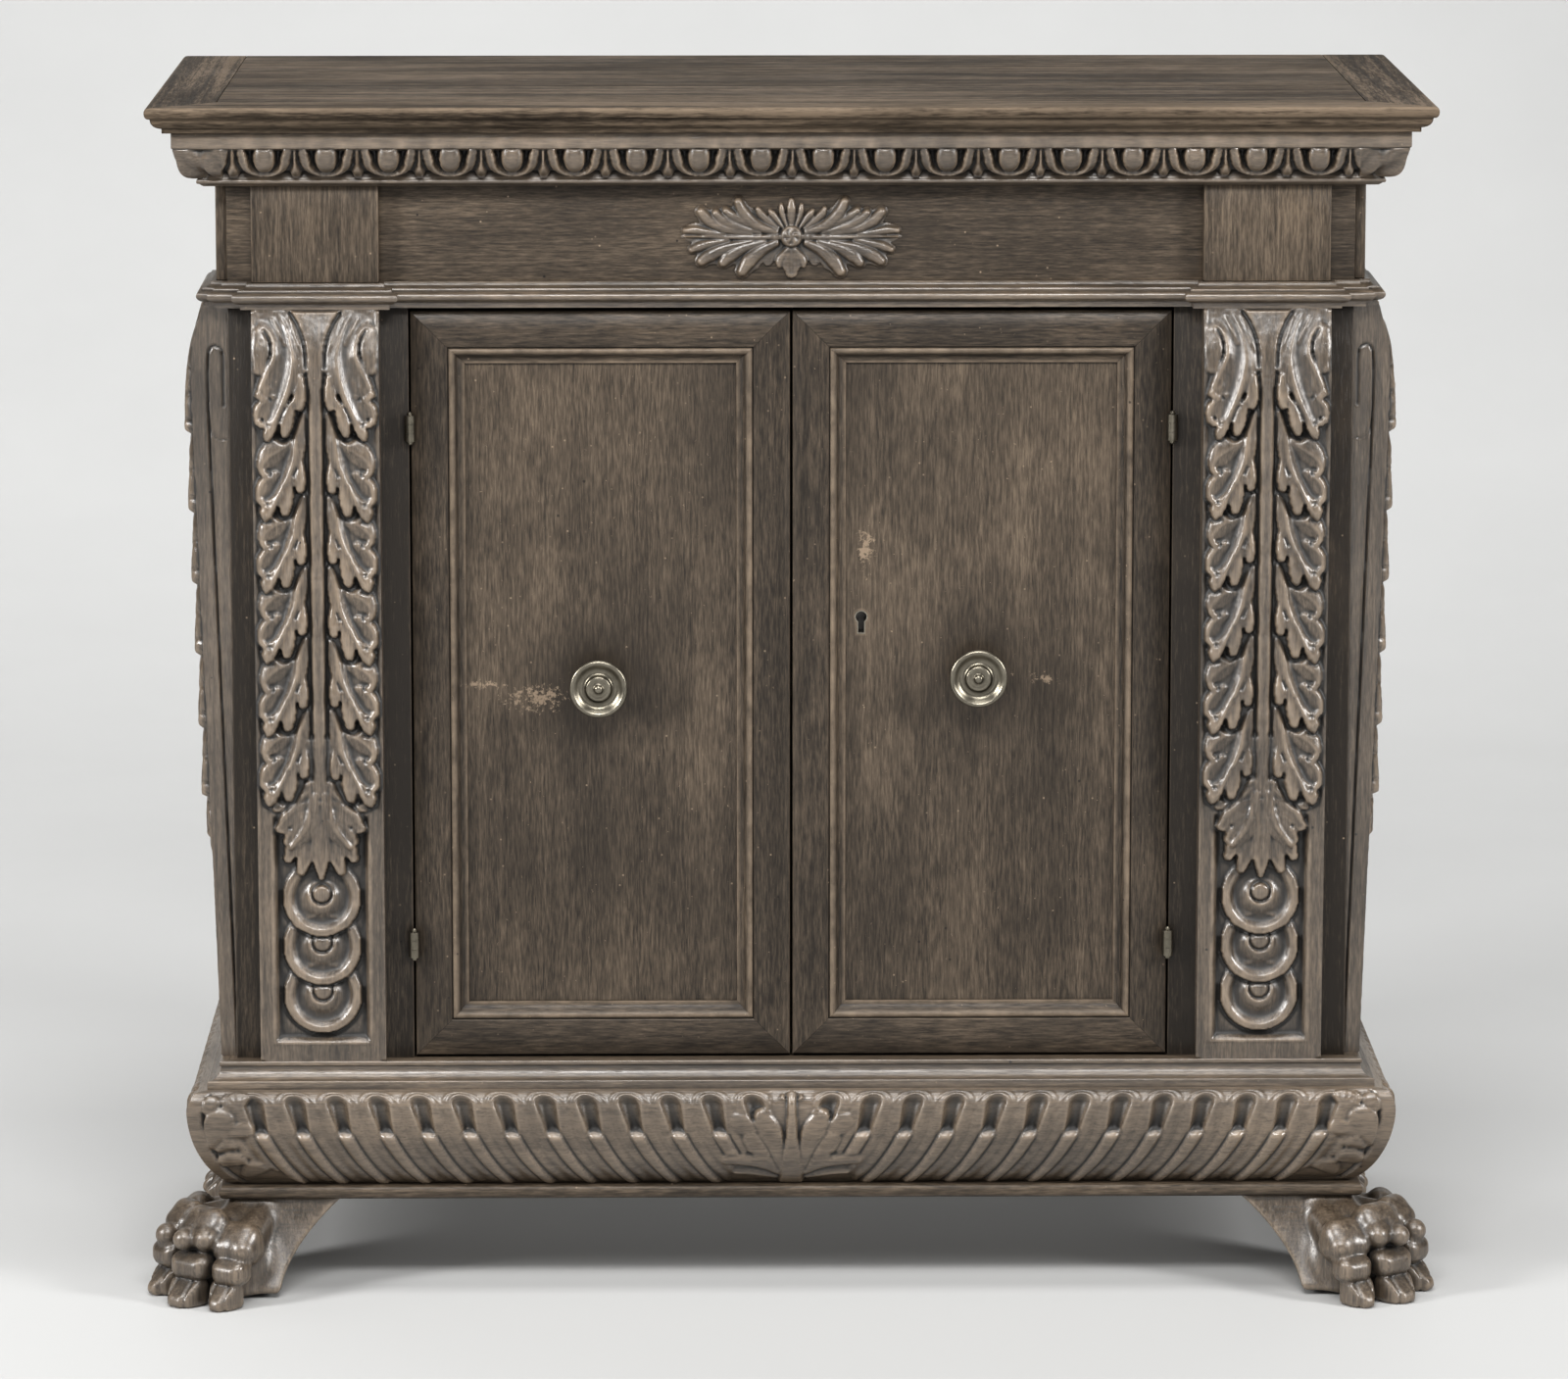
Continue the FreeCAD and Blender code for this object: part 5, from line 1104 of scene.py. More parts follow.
    # the stem flares out at the head
    F.tongue([(0, zpx(309)), (0, zpx(320)), (0, zpx(336)), (0, zpx(356)), (0, zpx(410))], [i * K for i in (26, 18.5, 11.5, 8.0, 6.8)], [2.6, 3.0, 3.2, 3.2, 2.9], 0.9, power=0.3)
    F.H += 0.14 * noise2(F.U / 2.6, F.W / 2.6, 5) + 0.2 * noise2(F.U / 7.0, F.W / 7.0, 6)
    F.H = soften(F.H)
    keep = smooth((F.W - 200) / 1.5) * smooth((842 - F.W) / 2.0)
    F.H = F.H * keep
    return F


OUT_Z = np.array([200, 240, 752, 780, 800, 815, 828, 842.0])
OUT_O = np.array([12.5, 13.5, 30.0, 30.6, 30.2, 28.0, 24.6, 19.6])


def out_at(z):
    zz = np.linspace(200, 842, 400)
    oo = np.interp(zz, OUT_Z, OUT_O)
    oo = np.convolve(np.pad(oo, 8, mode="edge"), np.ones(17) / 17, mode="valid")
    return np.interp(z, zz, oo)


def polyline_distance(U, W, pts):
    best = np.full(U.shape, 1e18)
    for a, c in zip(pts[:-1], pts[1:]):
        a, d = np.asarray(a, float), np.asarray(c, float) - np.asarray(a, float)
        t = np.clip(((U - a[0]) * d[0] + (W - a[1]) * d[1]) / max(d @ d, 1e-12), 0, 1)
        best = np.minimum(best, (U - a[0] - t * d[0]) ** 2 + (W - a[1] - t * d[1]) ** 2)
    return np.sqrt(best)


def cheek_cuts(O, Z):
    """Saw-cut lines on a pilaster's cheek: the face board's joint, its looped head and a stop below."""
    zs = np.linspace(203, 796, 60)
    joint = [(float(out_at(z)) - 12.8, z) for z in zs]
    w = float(out_at(800.0)) - 12.8
    loop = [tuple(q) for q in curve_points([(w, 796), (w - 0.2, 802), (w - 2.8, 807.2), (w - 6.6, 808), (5.6, 804.5), (4.6, 797), (4.6, 778), (4.6, 757)], 40)]
    w2 = float(out_at(741.0)) - 12.8
    stop = [tuple(q) for q in curve_points([(w2, 744), (w2 - 2.0, 735), (w2 - 6.0, 730), (3.0, 729), (0.4, 729)], 24)]
    d1 = polyline_distance(O, Z, joint + loop)
    d2 = polyline_distance(O, Z, stop)
    return 2.0 * np.exp(-((d1 / 0.95) ** 2)) + 1.0 * np.exp(-((d2 / 0.9) ** 2))


def pilaster(b, F, place, cheeks=(10, 10), seed=0):
    """Closed solid: carved face, two cheeks with the joint lines, back, top and bottom."""
    out = out_at(F.W) + F.H
    rows, n = out.shape
    pts = np.stack(place(F.U, out, F.W), -1).reshape(-1, 3)
    verts, faces = [pts], [grid_faces(rows, n)]
    cv = [cavity(F.H, F.cell).ravel()]
    k = rows * n
    backs = []
    for side, m in zip((0, n - 1), cheeks):
        u = F.u[side]
        fr = np.linspace(0, 1, m + 1)
        O = out[:, side][:, None] * fr[None, :]
        Z = np.repeat(F.w[:, None], m + 1, 1)
        cut = cheek_cuts(O, Z) if m >= 10 else np.zeros(O.shape)
        cut = cut * np.minimum(1, np.minimum(fr, 1 - fr)[None, :] * 8)
        U = u - math.copysign(1, u) * cut
        verts.append(np.stack(place(U, O, Z), -1).reshape(-1, 3))
        faces.append(grid_faces(rows, m + 1, k))
        cheek_cv = -np.clip(cut / 1.6, 0, 1) * 0.9
        # the cheek's front arris is lightened: wear and painted highlight
        cheek_cv[:, -1] = 0.45
        cv.append(cheek_cv.ravel())
        if side == 0:
            faces[-1] = faces[-1][:, ::-1]
        backs.append(k)
        k += rows * (m + 1)
    L, R = backs
    ml, mr = cheeks[0] + 1, cheeks[1] + 1
    i = np.arange(rows - 1)
    faces.append(np.stack([R + i * mr, R + (i + 1) * mr, L + (i + 1) * ml, L + i * ml], 1))
    lo = [j for j in range(n)] + [R + j for j in range(mr - 1, -1, -1)] + [L + j for j in range(ml)]
    hi = [(rows - 1) * n + j for j in range(n)] + [R + (rows - 1) * mr + j for j in range(mr - 1, -1, -1)] + [L + (rows - 1) * ml + j for j in range(ml)]
    faces += [lo[::-1], hi]
    b.add(np.concatenate(verts), faces, cav=np.concatenate(cv), grain="z", seed=seed, weld=True)


F_FRONT = carve_pilaster(BO - BI, 1.0)
for nm, sx, sd in (("pilaster_front_left", -1, 561), ("pilaster_front_right", 1, 562)):
    b = Build(nm)
    xc = sx * (BI + BO) / 2
    pilaster(b, F_FRONT, lambda u, o, z, xc=xc: (xc + u, FP - o, z), (12, 12), sd)
    b.object("carcass", CARVED, "carved_walnut", [nm], sharp=62)
F_SIDE = carve_pilaster(SPW, 1.45)
for nm, sx, sd in (("side_pilasters_left", -1, 563), ("side_pilasters_right", 1, 565)):
    b = Build(nm)
    for y0, ch, q in ((SPF, (24, 6), 0), (SPR, (10, 6), 1)):
        yc = y0 + SPW / 2
        pilaster(b, F_SIDE, lambda u, o, z, yc=yc, sx=sx: (sx * (CH + o), yc + u, z), ch, sd + q)
    b.object("carcass", CARVED, "carved_walnut", [nm], sharp=62)


# ---------------------------------------------------------------------------------------------- frieze and architrave
b = Build("frieze_rail")
board(b, -CH, CH, FP, -133, 842, 992, r=0.8, grain="x", seed=571, tone=0.02, wear=0.2)
b.object("carcass", CASE, "case_walnut", ["frieze_rail"])
b = Build("frieze_blocks")
for s in (-1, 1):
    x0, x1 = sorted((s * BI, s * BO))
    board(b, x0, x1, -170, FP, 863.5, 945, r=1.3, grain="z", seed=572 + s, tone=0.14, wear=0.4)
b.object("carcass", CASE, "case_walnut", ["frieze_blocks"])
b = Build("side_frieze_blocks")
for s in (-1, 1):
    for y0 in (SPF, SPR):
        x0, x1 = sorted((s * CH, s * (CH + 9.5)))
        board(b, x0, x1, y0, y0 + SPW, 863.5, 945, r=1.3, grain="z", seed=575 + s + int(y0), tone=0.0, wear=0.4)
b.object("carcass", CASE, "case_walnut", ["side_frieze_blocks"])

ARCH = [(4.0, 863.5), (4.2, 861.4), (5.2, 859.8), (7.0, 858.8), (10.6, 858.2), (11.0, 857.4), (11.0, 856.6), (12.2, 856.2), (14.2, 855.2), (15.6, 853.6), (16.0, 851.9),
        (15.6, 850.2), (14.4, 848.6), (12.4, 847.3), (10.6, 846.8), (9.2, 846.4), (9.0, 845.6), (9.0, 842.0)]
ARCH_WEAR = [0.0, -0.3, -0.3, -0.1, 0.4, 0.2, -0.55, -0.3, 0.2, 0.4, 0.45, 0.25, 0.0, -0.2, -0.5, 0.3, 0.35, 0.0]


def sweep_path(b, path, prof, wear, back, start_n, end_n, grain, seed):
    """A moulding along a plan path of square turns; the wall side is on the left of the walk. start_n / end_n: mitre share at each end."""
    P = np.asarray(path, float)
    d = np.diff(P, axis=0)
    d /= np.linalg.norm(d, axis=1)[:, None]
    nr = np.stack([d[:, 1], -d[:, 0]], 1)
    offs = [nr[0] + np.asarray(start_n)]
    for i in range(1, len(P) - 1):
        offs.append(nr[i - 1] + nr[i])
    offs.append(nr[-1] + np.asarray(end_n))
    sec = list(prof) + list(back)
    n = len(sec)
    verts, cv = [], []
    for p, o in zip(P, offs):
        for (e, z), k in zip(sec, list(wear) + [0.0] * len(back)):
            verts.append((p[0] + o[0] * e, min(p[1] + o[1] * e, BACK), z))
            cv.append(k)
    faces = []
    m = len(P)
    for i in range(m - 1):
        for j in range(n):
            k = (j + 1) % n
            faces.append([i * n + j, i * n + k, (i + 1) * n + k, (i + 1) * n + j])
    faces += [list(range(n))[::-1], [(m - 1) * n + j for j in range(n)]]
    b.add(verts, faces, cav=cv, grain=grain, seed=seed, tone=0.06, weld=True)


AB = [(0.0, 842.0), (0.0, 863.5)]
b = Build("architrave_front")
sweep_path(b, [(-CH, FP), (-BO, FP), (-BO, -170), (-BI, -170), (-BI, FP), (BI, FP), (BI, -170), (BO, -170), (BO, FP), (CH, FP)],
           ARCH, ARCH_WEAR, AB, (-1, 0), (1, 0), "x", 581)
b.object("carcass", CARVED, "carved_walnut", ["architrave_front"], sharp=50)
b = Build("architrave_sides")
SB = CH + 9.5
right = [(CH, FP), (CH, SPF), (SB, SPF), (SB, SPF + SPW), (CH, SPF + SPW), (CH, SPR), (SB, SPR), (SB, SPR + SPW), (CH, SPR + SPW), (CH, BACK)]
sweep_path(b, right, ARCH, ARCH_WEAR, AB, (0, -1), (0, 0), "y", 582)
left = [(-x, y) for x, y in right][::-1]
sweep_path(b, left, ARCH, ARCH_WEAR, AB, (0, 0), (0, -1), "y", 583)
b.object("carcass", CARVED, "carved_walnut", ["architrave_sides"], sharp=50)


# rosette: a leaf spray on each side of a small button
def rosette():
    Q = 0.139
    F = Field(-95, 95, -36, 36, 0.6, -9.0)

    def both(pts, w, h, crown, groove=0.0, gw=0.45):
        for s in (1, -1):
            F.tongue([(s * x * Q, -y * Q) for x, y in pts], [i * Q for i in w], h, crown, groove, gw)

    def ridged(pts, w, h, crown):
        """A lobe: a round ridge on a wider, lower leaf."""
        both(pts, [i * k for i, k in zip(w, (1.3, 1.65, 1.7, 1.5))], [0.45 * i + 0.2 for i in h], 1.5)
        both(pts, w, h, crown)
    # the blade under the lobes
    both([(-60, 0), (-230, 0), (-430, 2), (-655, 5)], [96, 140, 126, 10], [0.5, 0.5, 0.4, 0.3], 0.9)
    both([(-70, 60), (-115, 105), (-140, 150)], [26, 42, 34], [0.8, 1.0, 1.0], 1.6, 0.8)
    # lobes above, from the tip inwards
    ridged([(-400, -10), (-500, -24), (-575, -36), (-634, -34)], [17.3, 26.6, 28.1, 19.9], [0.8, 1.4, 1.6, 1.2], 3.8)
    ridged([(-240, -16), (-390, -44), (-486, -92), (-540, -146)], [21.6, 33.3, 36.5, 28.2], [1.2, 1.8, 2.6, 2.4], 4.2)
    ridged([(-190, -22), (-320, -58), (-408, -100), (-452, -138)], [18.7, 30.6, 33.7, 26.5], [1.4, 2.2, 2.8, 2.4], 4.1)
    ridged([(-150, -34), (-270, -82), (-352, -124), (-392, -152)], [17.3, 26.6, 30.9, 24.8], [1.6, 2.4, 3.0, 2.4], 4.0)
    ridged([(-95, -26), (-205, -66), (-282, -134), (-318, -206)], [26.6, 36.0, 37.9, 26.5], [1.8, 3.0, 3.8, 3.2], 4.4)
    # lobes below
    ridged([(-380, 22), (-490, 46), (-556, 66), (-596, 82)], [17.3, 29.3, 30.9, 21.5], [0.8, 1.4, 1.6, 1.2], 3.8)
    ridged([(-235, 32), (-390, 70), (-484, 112), (-536, 150)], [23.0, 37.3, 41.4, 30.6], [1.2, 1.8, 2.6, 2.4], 4.2)
    ridged([(-165, 34), (-290, 72), (-370, 118), (-408, 156)], [24.5, 36.0, 41.4, 31.5], [1.4, 2.2, 3.0, 2.6], 4.2)
    ridged([(-95, 40), (-190, 88), (-256, 152), (-294, 210)], [27.4, 40.0, 44.2, 33.1], [1.8, 3.0, 3.8, 3.2], 4.4)
    # the fan above the boss and the small leaf below it
    both([(-80, -46), (-140, -92), (-182, -132), (-200, -164)], [14.4, 27.0, 27.9, 18.0], [1.0, 1.6, 2.0, 1.6], 3.8)
    both([(-54, -56), (-92, -108), (-116, -136), (-126, -150)], [13.5, 23.4, 25.2, 18.0], [1.0, 1.6, 1.8, 1.4], 3.8)
    both([(-28, -62), (-50, -122), (-58, -160), (-60, -188)], [11.7, 20.7, 22.5, 14.4], [1.2, 1.8, 2.0, 1.6], 3.8)
    F.tongue([(0, 60 * Q), (0, 122 * Q), (0, 170 * Q), (0, 214 * Q)], [18 * Q, 30 * Q, 32 * Q, 20 * Q], [1.4, 2.2, 2.6, 2.0], 3.8)
    both([(-26, 84), (-60, 132), (-70, 160), (-72, 176)], [18.9, 30.6, 29.7, 20.7], [1.2, 1.8, 2.0, 1.6], 3.8)
    F.tongue([(0, -70 * Q), (0, -130 * Q), (0, -184 * Q), (0, -216 * Q)], [38 * Q, 54 * Q, 58 * Q, 40 * Q], [1.8, 2.8, 3.4, 2.8], 2.6, 1.0, 0.25)
    # the rib from the boss to each end
    both([(-70, 4), (-180, 6), (-300, 6), (-460, 4), (-640, 4)], [19, 18, 17, 12, 5], [3.4, 3.6, 3.2, 2.2, 1.2], 2.4)
    both([(-88, 4), (-100, 4), (-112, 4)], [20, 22, 18], [4.2, 4.6, 4.2], 2.2)
    r = np.hypot(F.U, F.W)
    th = np.arctan2(F.W, F.U)
    button = 3.4 + 4.6 * np.sqrt(np.clip(1 - (r / 9.6) ** 2, 0, 1)) + 0.8 * np.exp(-((r - 7.6) / 1.0) ** 2) - 0.9 * np.cos(5 * th + r * 0.35) * smooth((r - 1.2) / 2.0) * smooth((7.2 - r) / 1.5)
    F.H = np.where(r < 9.6, np.maximum(F.H, button), F.H)
    solid = F.H > -8
    H = np.where(solid, F.H, 0.0)
    # inside the outline: blurred crests; outside: no surface
    S = soften(np.where(solid, H, 0.2))
    H = np.maximum(S, 0.15)
    mask = solid
    b = Build("frieze_rosette")
    rows, n = H.shape
    fr = np.stack([F.U, FP - H, 901 + F.W], -1).reshape(-1, 3)
    bk = np.stack([F.U, np.full(H.shape, FP + 0.0), 901 + F.W], -1).reshape(-1, 3)
    quad = grid_faces(rows, n)
    cellmask = (mask[:-1, :-1] & mask[1:, :-1] & mask[:-1, 1:] & mask[1:, 1:]).ravel()
    front = quad[cellmask]
    faces = [front, front[:, ::-1] + rows * n]
    # walls along the outline
    e = np.concatenate([front[:, [0, 1]], front[:, [1, 2]], front[:, [2, 3]], front[:, [3, 0]]])
    code = e[:, 0].astype(np.int64) * (rows * n) + e[:, 1]
    rev = e[:, 1].astype(np.int64) * (rows * n) + e[:, 0]
    rim = e[~np.isin(code, rev)]
    faces.append(np.stack([rim[:, 1], rim[:, 0], rim[:, 0] + rows * n, rim[:, 1] + rows * n], 1))
    verts = np.concatenate([fr, bk])
    used = np.unique(np.concatenate([x.ravel() for x in faces]))
    remap = np.full(len(verts), -1)
    remap[used] = np.arange(len(used))
    cv = np.concatenate([cavity(H, F.cell, 1.2, 5.0).ravel(), np.zeros(rows * n)])
    b.add(verts[used], [remap[x] for x in faces], cav=cv[used], grain="x", seed=585)
    return b.object("carcass", CARVED, "carved_walnut", ["frieze_rosette"], sharp=62)


rosette()


# ---------------------------------------------------------------------------------------------- case boards
for s, nm in ((-1, "left"), (1, "right")):
    b = Build("front_stile_" + nm)
    x0, x1 = sorted((s * 319.5, s * CH))
    # painted shade: tone -0.44 darkens the stiles for the shadow that falls between pilaster and door
    board(b, x0, x1, FP, -133, 200, 842, r=1.0, grain="z", seed=591 + s, tone=-0.44, wear=0.4)
    b.object("carcass", CASE, "case_walnut", ["front_stile_" + nm])
    b = Build("side_panel_" + nm)
    x0, x1 = sorted((s * 450.0, s * CH))
    for y0, y1, k in ((-133, 44, 0), (44, 222, 1)):
        board(b, x0, x1, y0 + 0.05, y1 - 0.05, 92, 992, r=0.5, grain="z", seed=594 + s + 7 * k, tone=-0.01, wear=-0.2, seg=1)
    b.object("carcass", CASE, "case_walnut", ["side_panel_" + nm])
b = Build("plinth_rail")
board(b, -CH, CH, FP, -133, 92, 200, r=0.8, grain="x", seed=603, wear=0.2)
b.object("carcass", CASE, "case_walnut", ["plinth_rail"])
b = Build("floor_board")
for y0, y1, k in ((-133, 46, 0), (46, 222, 1)):
    board(b, -450, 450, y0 + 0.1, y1 - 0.1, 180, 200, r=0.6, grain="x", seed=605 + k, wear=-0.3, seg=1)
b.object("carcass", INSIDE, "inside_wood", ["floor_board"])
b = Build("shelf")
for y0, y1, k in ((-108, 60, 0), (60, 222, 1)):
    board(b, -449.6, 449.6, y0 + 0.1, y1 - 0.1, 500, 518, r=1.2, grain="x", seed=608 + k, wear=0.2)
b.object("carcass", INSIDE, "inside_wood", ["shelf"])
b = Build("shelf_cleats")
for s in (-1, 1):
    x0, x1 = sorted((s * 430.0, s * 450.0))
    board(b, x0, x1, -96, 210, 480, 500, r=2.0, grain="y", seed=611 + s, wear=0.3)
b.object("carcass", INSIDE, "inside_wood", ["shelf_cleats"])
b = Build("back_boards")
edges = [-469.7, -235.6, 1.2, 233.9, 469.7]
for k in range(4):
    board(b, edges[k] + 0.35, edges[k + 1] - 0.35, 222, 236 - (0.4 if k % 2 else 0.0), 92, 992, r=1.0, grain="z", seed=615 + k, tone=(-0.06, 0.05, -0.02, 0.06)[k], wear=0.1)
for k in range(1, 4):
    board(b, edges[k] - 4.0, edges[k] + 4.0, 227, 231, 94, 990, r=0.3, grain="z", seed=625 + k, tone=-0.1, wear=-0.5, seg=1)
b.object("carcass", INSIDE, "inside_wood", ["back_boards"])


# ---------------------------------------------------------------------------------------------- doors
# section of a frame member: in from the outer edge, back from the face
D_FACE = [(0.0, 1.6), (0.4, 0.6), (1.4, 0.0), (29.6, 0.0), (30.3, 0.5), (30.7, 1.7), (31.3, 1.7), (31.9, 0.7), (33.2, 0.1), (34.6, 0.3), (36.0, 1.2),
          (37.3, 2.8), (38.4, 4.4), (39.8, 5.8), (41.6, 6.7), (43.6, 7.0), (44.6, 7.2), (45.0, 7.8), (45.0, 9.75)]
# wear along the door frame's moulding, raised on its crests as painted highlight lines and lowered in the quirk and at
# the panel edge as painted shadow lines
D_WEAR_AND_PAINTED_LIGHT = [0.2, 0.5, 0.3, 0.0, 0.5, -0.6, -0.6, 0.9, 1.0, 0.9, 0.65, 0.3, 0.0, -0.1, 0.3, 0.75, 1.0, 0.6, -0.6]
D_BACK = [(38.6, 9.75), (38.6, 20.3), (45.0, 20.3), (45.0, 21.4), (44.4, 22.0), (0.8, 22.0), (0.0, 21.2)]
Z0, Z1 = 202.0, 838.0


def door_member(name, body, kind, s, seed, tone):
    """kind: which edge of the door it lies along; s: -1 left door, 1 right door."""
    xin, xout = s * 1.0, s * 318.0
    gap = 0.13
    sec = D_FACE + D_BACK
    verts, cv = [], []
    for end in (0, 1):
        for (a, d), k in zip(sec, D_WEAR_AND_PAINTED_LIGHT + [0.0] * len(D_BACK)):
            y = FP + d
            if kind in ("hinge", "meeting"):
                x = xout - s * a if kind == "hinge" else xin + s * a
                z = (Z0 + a + gap) if end == 0 else (Z1 - a - gap)
            else:
                z = Z1 - a if kind == "top" else Z0 + a
                x = (xin + s * (a + gap)) if end == 0 else (xout - s * (a + gap))
            verts.append((x, y, z))
            cv.append(k)
    n = len(sec)
    faces = [[j, (j + 1) % n, n + (j + 1) % n, n + j] for j in range(n)]
    faces += [list(range(n))[::-1], [n + j for j in range(n)]]
    b = Build(name)
    b.add(verts, faces, cav=cv, grain="z" if kind in ("hinge", "meeting") else "x", seed=seed, tone=tone)
    return b.object(body, DOOR, "door_walnut", [name], sharp=42)


KEY = (59.0, 577.0)


def keyhole_outline(r, half, drop, n=40):
    """Round head over a straight slot, counter-clockwise from the right."""
    a0 = -math.asin(half / r)
    a = math.pi / 2
    th0 = -math.pi / 2 + math.asin(half / r)
    th = np.linspace(th0, 1.5 * math.pi - math.asin(half / r), n - 6)
    pts = [(r * math.cos(t), r * math.sin(t)) for t in th]
    lx = half
    base = -drop
    for t in np.linspace(0, 1, 4)[1:]:
        pts.append((-lx, pts[n - 7][1] * (1 - t) + base * t))
    for t in np.linspace(0, 1, 4)[:3]:
        pts.append((lx, base * (1 - t) + pts[0][1] * t))
    return [(KEY[0] + x, KEY[1] + z) for x, z in pts]


def flat_panel(name, body, x0, x1, seed, hole=None):
    b = Build(name)
    z0, z1, yf, yb = 241.0, 799.0, -148.0, -138.0
    if hole is None:
        board(b, x0, x1, yf, yb, z0, z1, r=0.4, grain="z", seed=seed, wear=0.0, seg=1)
    else:
        n = len(hole)
        ring = keyhole_outline(8.2, 6.1, 17.1)
        rect = [(KEY[0] + 16, KEY[1] - 24), (KEY[0] + 16, KEY[1] + 16), (KEY[0] - 16, KEY[1] + 16), (KEY[0] - 16, KEY[1] - 24)]
        outer = [(x1, z0), (x1, z1), (x0, z1), (x0, z0)]
        verts, faces = [], []
        for y in (yf, yb):
            verts += [(x, y, z) for x, z in outer] + [(x, y, z) for x, z in rect] + [(x, y, z) for x, z in ring] + [(x, y, z) for x, z in hole]
        stride = 8 + 2 * n
        # each hole point goes with one rectangle corner
        ang = [math.atan2(z - KEY[1], x - KEY[0]) for x, z in hole]
        for side in (0, 1):
            o = side * stride
            fl = []
            for j in range(4):
                k = (j + 1) % 4
                fl.append([o + j, o + k, o + 4 + k, o + 4 + j])
            corner = [min(range(4), key=lambda q: (ring[i][0] - rect[q][0]) ** 2 + (ring[i][1] - rect[q][1]) ** 2) for i in range(n)]
            for i in range(n):
                k = (i + 1) % n
                if corner[i] == corner[k]:
                    fl.append([o + 8 + i, o + 8 + k, o + 4 + corner[i]])
                else:
                    fl.append([o + 8 + i, o + 8 + k, o + 4 + corner[k], o + 4 + corner[i]])
                fl.append([o + 8 + n + i, o + 8 + n + k, o + 8 + k, o + 8 + i])
            faces += fl if side == 0 else [q[::-1] for q in fl]
        for i in range(n):
            k = (i + 1) % n
            faces.append([8 + n + k, 8 + n + i, stride + 8 + n + i, stride + 8 + n + k])
        for j in range(4):
            k = (j + 1) % 4
            faces.append([k, j, stride + j, stride + k])
        b.add(verts, faces, cav=([0.0] * (8 + n) + [1.0] * n) * 2, grain="z", seed=seed)
    # painted shade: darker towards the foot, where less light falls
    b.tone[-1] = b.tone[-1] + 0.00036 * (b.v[-1][:, 2] - 510)
    return b.object(body, DOOR, "door_walnut", [name], sharp=40)


def lathe(b, prof, centre, axis_y, n=72, wear=None, grain="y", seed=0):
    """Turned piece about a line along Y. prof: (radius, y) from front centre to back centre."""
    cx, cz = centre
    verts, faces, cv = [], [], []
    wear = wear or [0.0] * len(prof)
    rows = []
    for (r, y), k in zip(prof, wear):
        if r < 1e-6:
            rows.append([len(verts)])
            verts.append((cx, y, cz))
            cv.append(k)
        else:
            ids = []
            for i in range(n):
                t = 2 * math.pi * i / n
                ids.append(len(verts))
                verts.append((cx + r * math.cos(t), y, cz + r * math.sin(t)))
                cv.append(k)
            rows.append(ids)
    for a, c in zip(rows[:-1], rows[1:]):
        if len(a) == 1:
            faces += [[a[0], c[i], c[(i + 1) % n]] for i in range(n)]
        elif len(c) == 1:
            faces += [[a[i], c[0], a[(i + 1) % n]] for i in range(n)]
        else:
            faces += [[a[i], c[i], c[(i + 1) % n], a[(i + 1) % n]] for i in range(n)]
    b.add(verts, faces, cav=cv, grain=grain, seed=seed)
    return b


KNOB = [(0.0, -182.0), (1.6, -181.8), (3.0, -181.0), (3.8, -179.7), (4.6, -179.0), (6.2, -178.7), (8.2, -179.0), (9.6, -178.9), (10.6, -178.0), (11.3, -176.7), (12.4, -175.8),
        (14.2, -175.3), (16.2, -175.7), (18.0, -176.8), (19.6, -178.2), (21.0, -179.3), (22.6, -179.7), (23.9, -178.9), (24.5, -177.4), (24.3, -175.2), (23.0, -172.8),
        (19.6, -169.4), (14.4, -166.4), (10.2, -163.4), (8.4, -159.6), (8.2, -155.6), (9.4, -152.6), (11.6, -150.8), (12.6, -149.4), (12.6, -148.0), (4.0, -147.6), (4.0, -128.6), (3.5, -128.0), (0.0, -128.0)]
KNOB_WEAR = [0.5, 0.4, 0.2, -0.2, -0.2, 0.0, 0.3, 0.3, 0.1, -0.2, -0.2, -0.1, 0.0, 0.1, 0.2, 0.4, 0.4, 0.4, 0.3, 0.1] + [0.0] * 14


def smooth_profile(prof, wear):
    """Doubles the points of a turned profile with a curve through them, up to the neck."""
    m = 29
    p = curve_points(prof[:m], 3 * m)
    w = np.interp(np.linspace(0, 1, 3 * m), np.linspace(0, 1, m), wear[:m])
    pts = [(max(0.0, float(r)), float(y)) for r, y in p]
    return pts + list(prof[m:]), list(w) + list(wear[m:])


for s, nm, sd in ((-1, "left", 631), (1, "right", 651)):
    body = nm + "_door"
    for kind, part in (("hinge", "hinge_stile"), ("meeting", "meeting_stile"), ("top", "top_rail"), ("bottom", "bottom_rail")):
        door_member(f"{nm}_door_{part}", body, kind, s, sd, {"top": -0.08, "bottom": -0.12}.get(kind, -0.16))
        sd += 1
    x0, x1 = sorted((s * 40.0, s * 279.0))
    flat_panel(f"{nm}_door_panel", body, x0 + 0.2, x1 - 0.2, sd, keyhole_outline(5.6, 3.5, 14.5) if s == 1 else None)
    cx, cz = ((-162.0, 521.0), (157.0, 529.0))[s > 0]
    kp, kw = smooth_profile(KNOB, KNOB_WEAR)
    b = Build(f"{nm}_knob")
    lathe(b, kp, (cx, cz), True, 72, kw, seed=sd)
    b.object(body, BRASS, "brass", [f"{nm}_knob"], sharp=45)

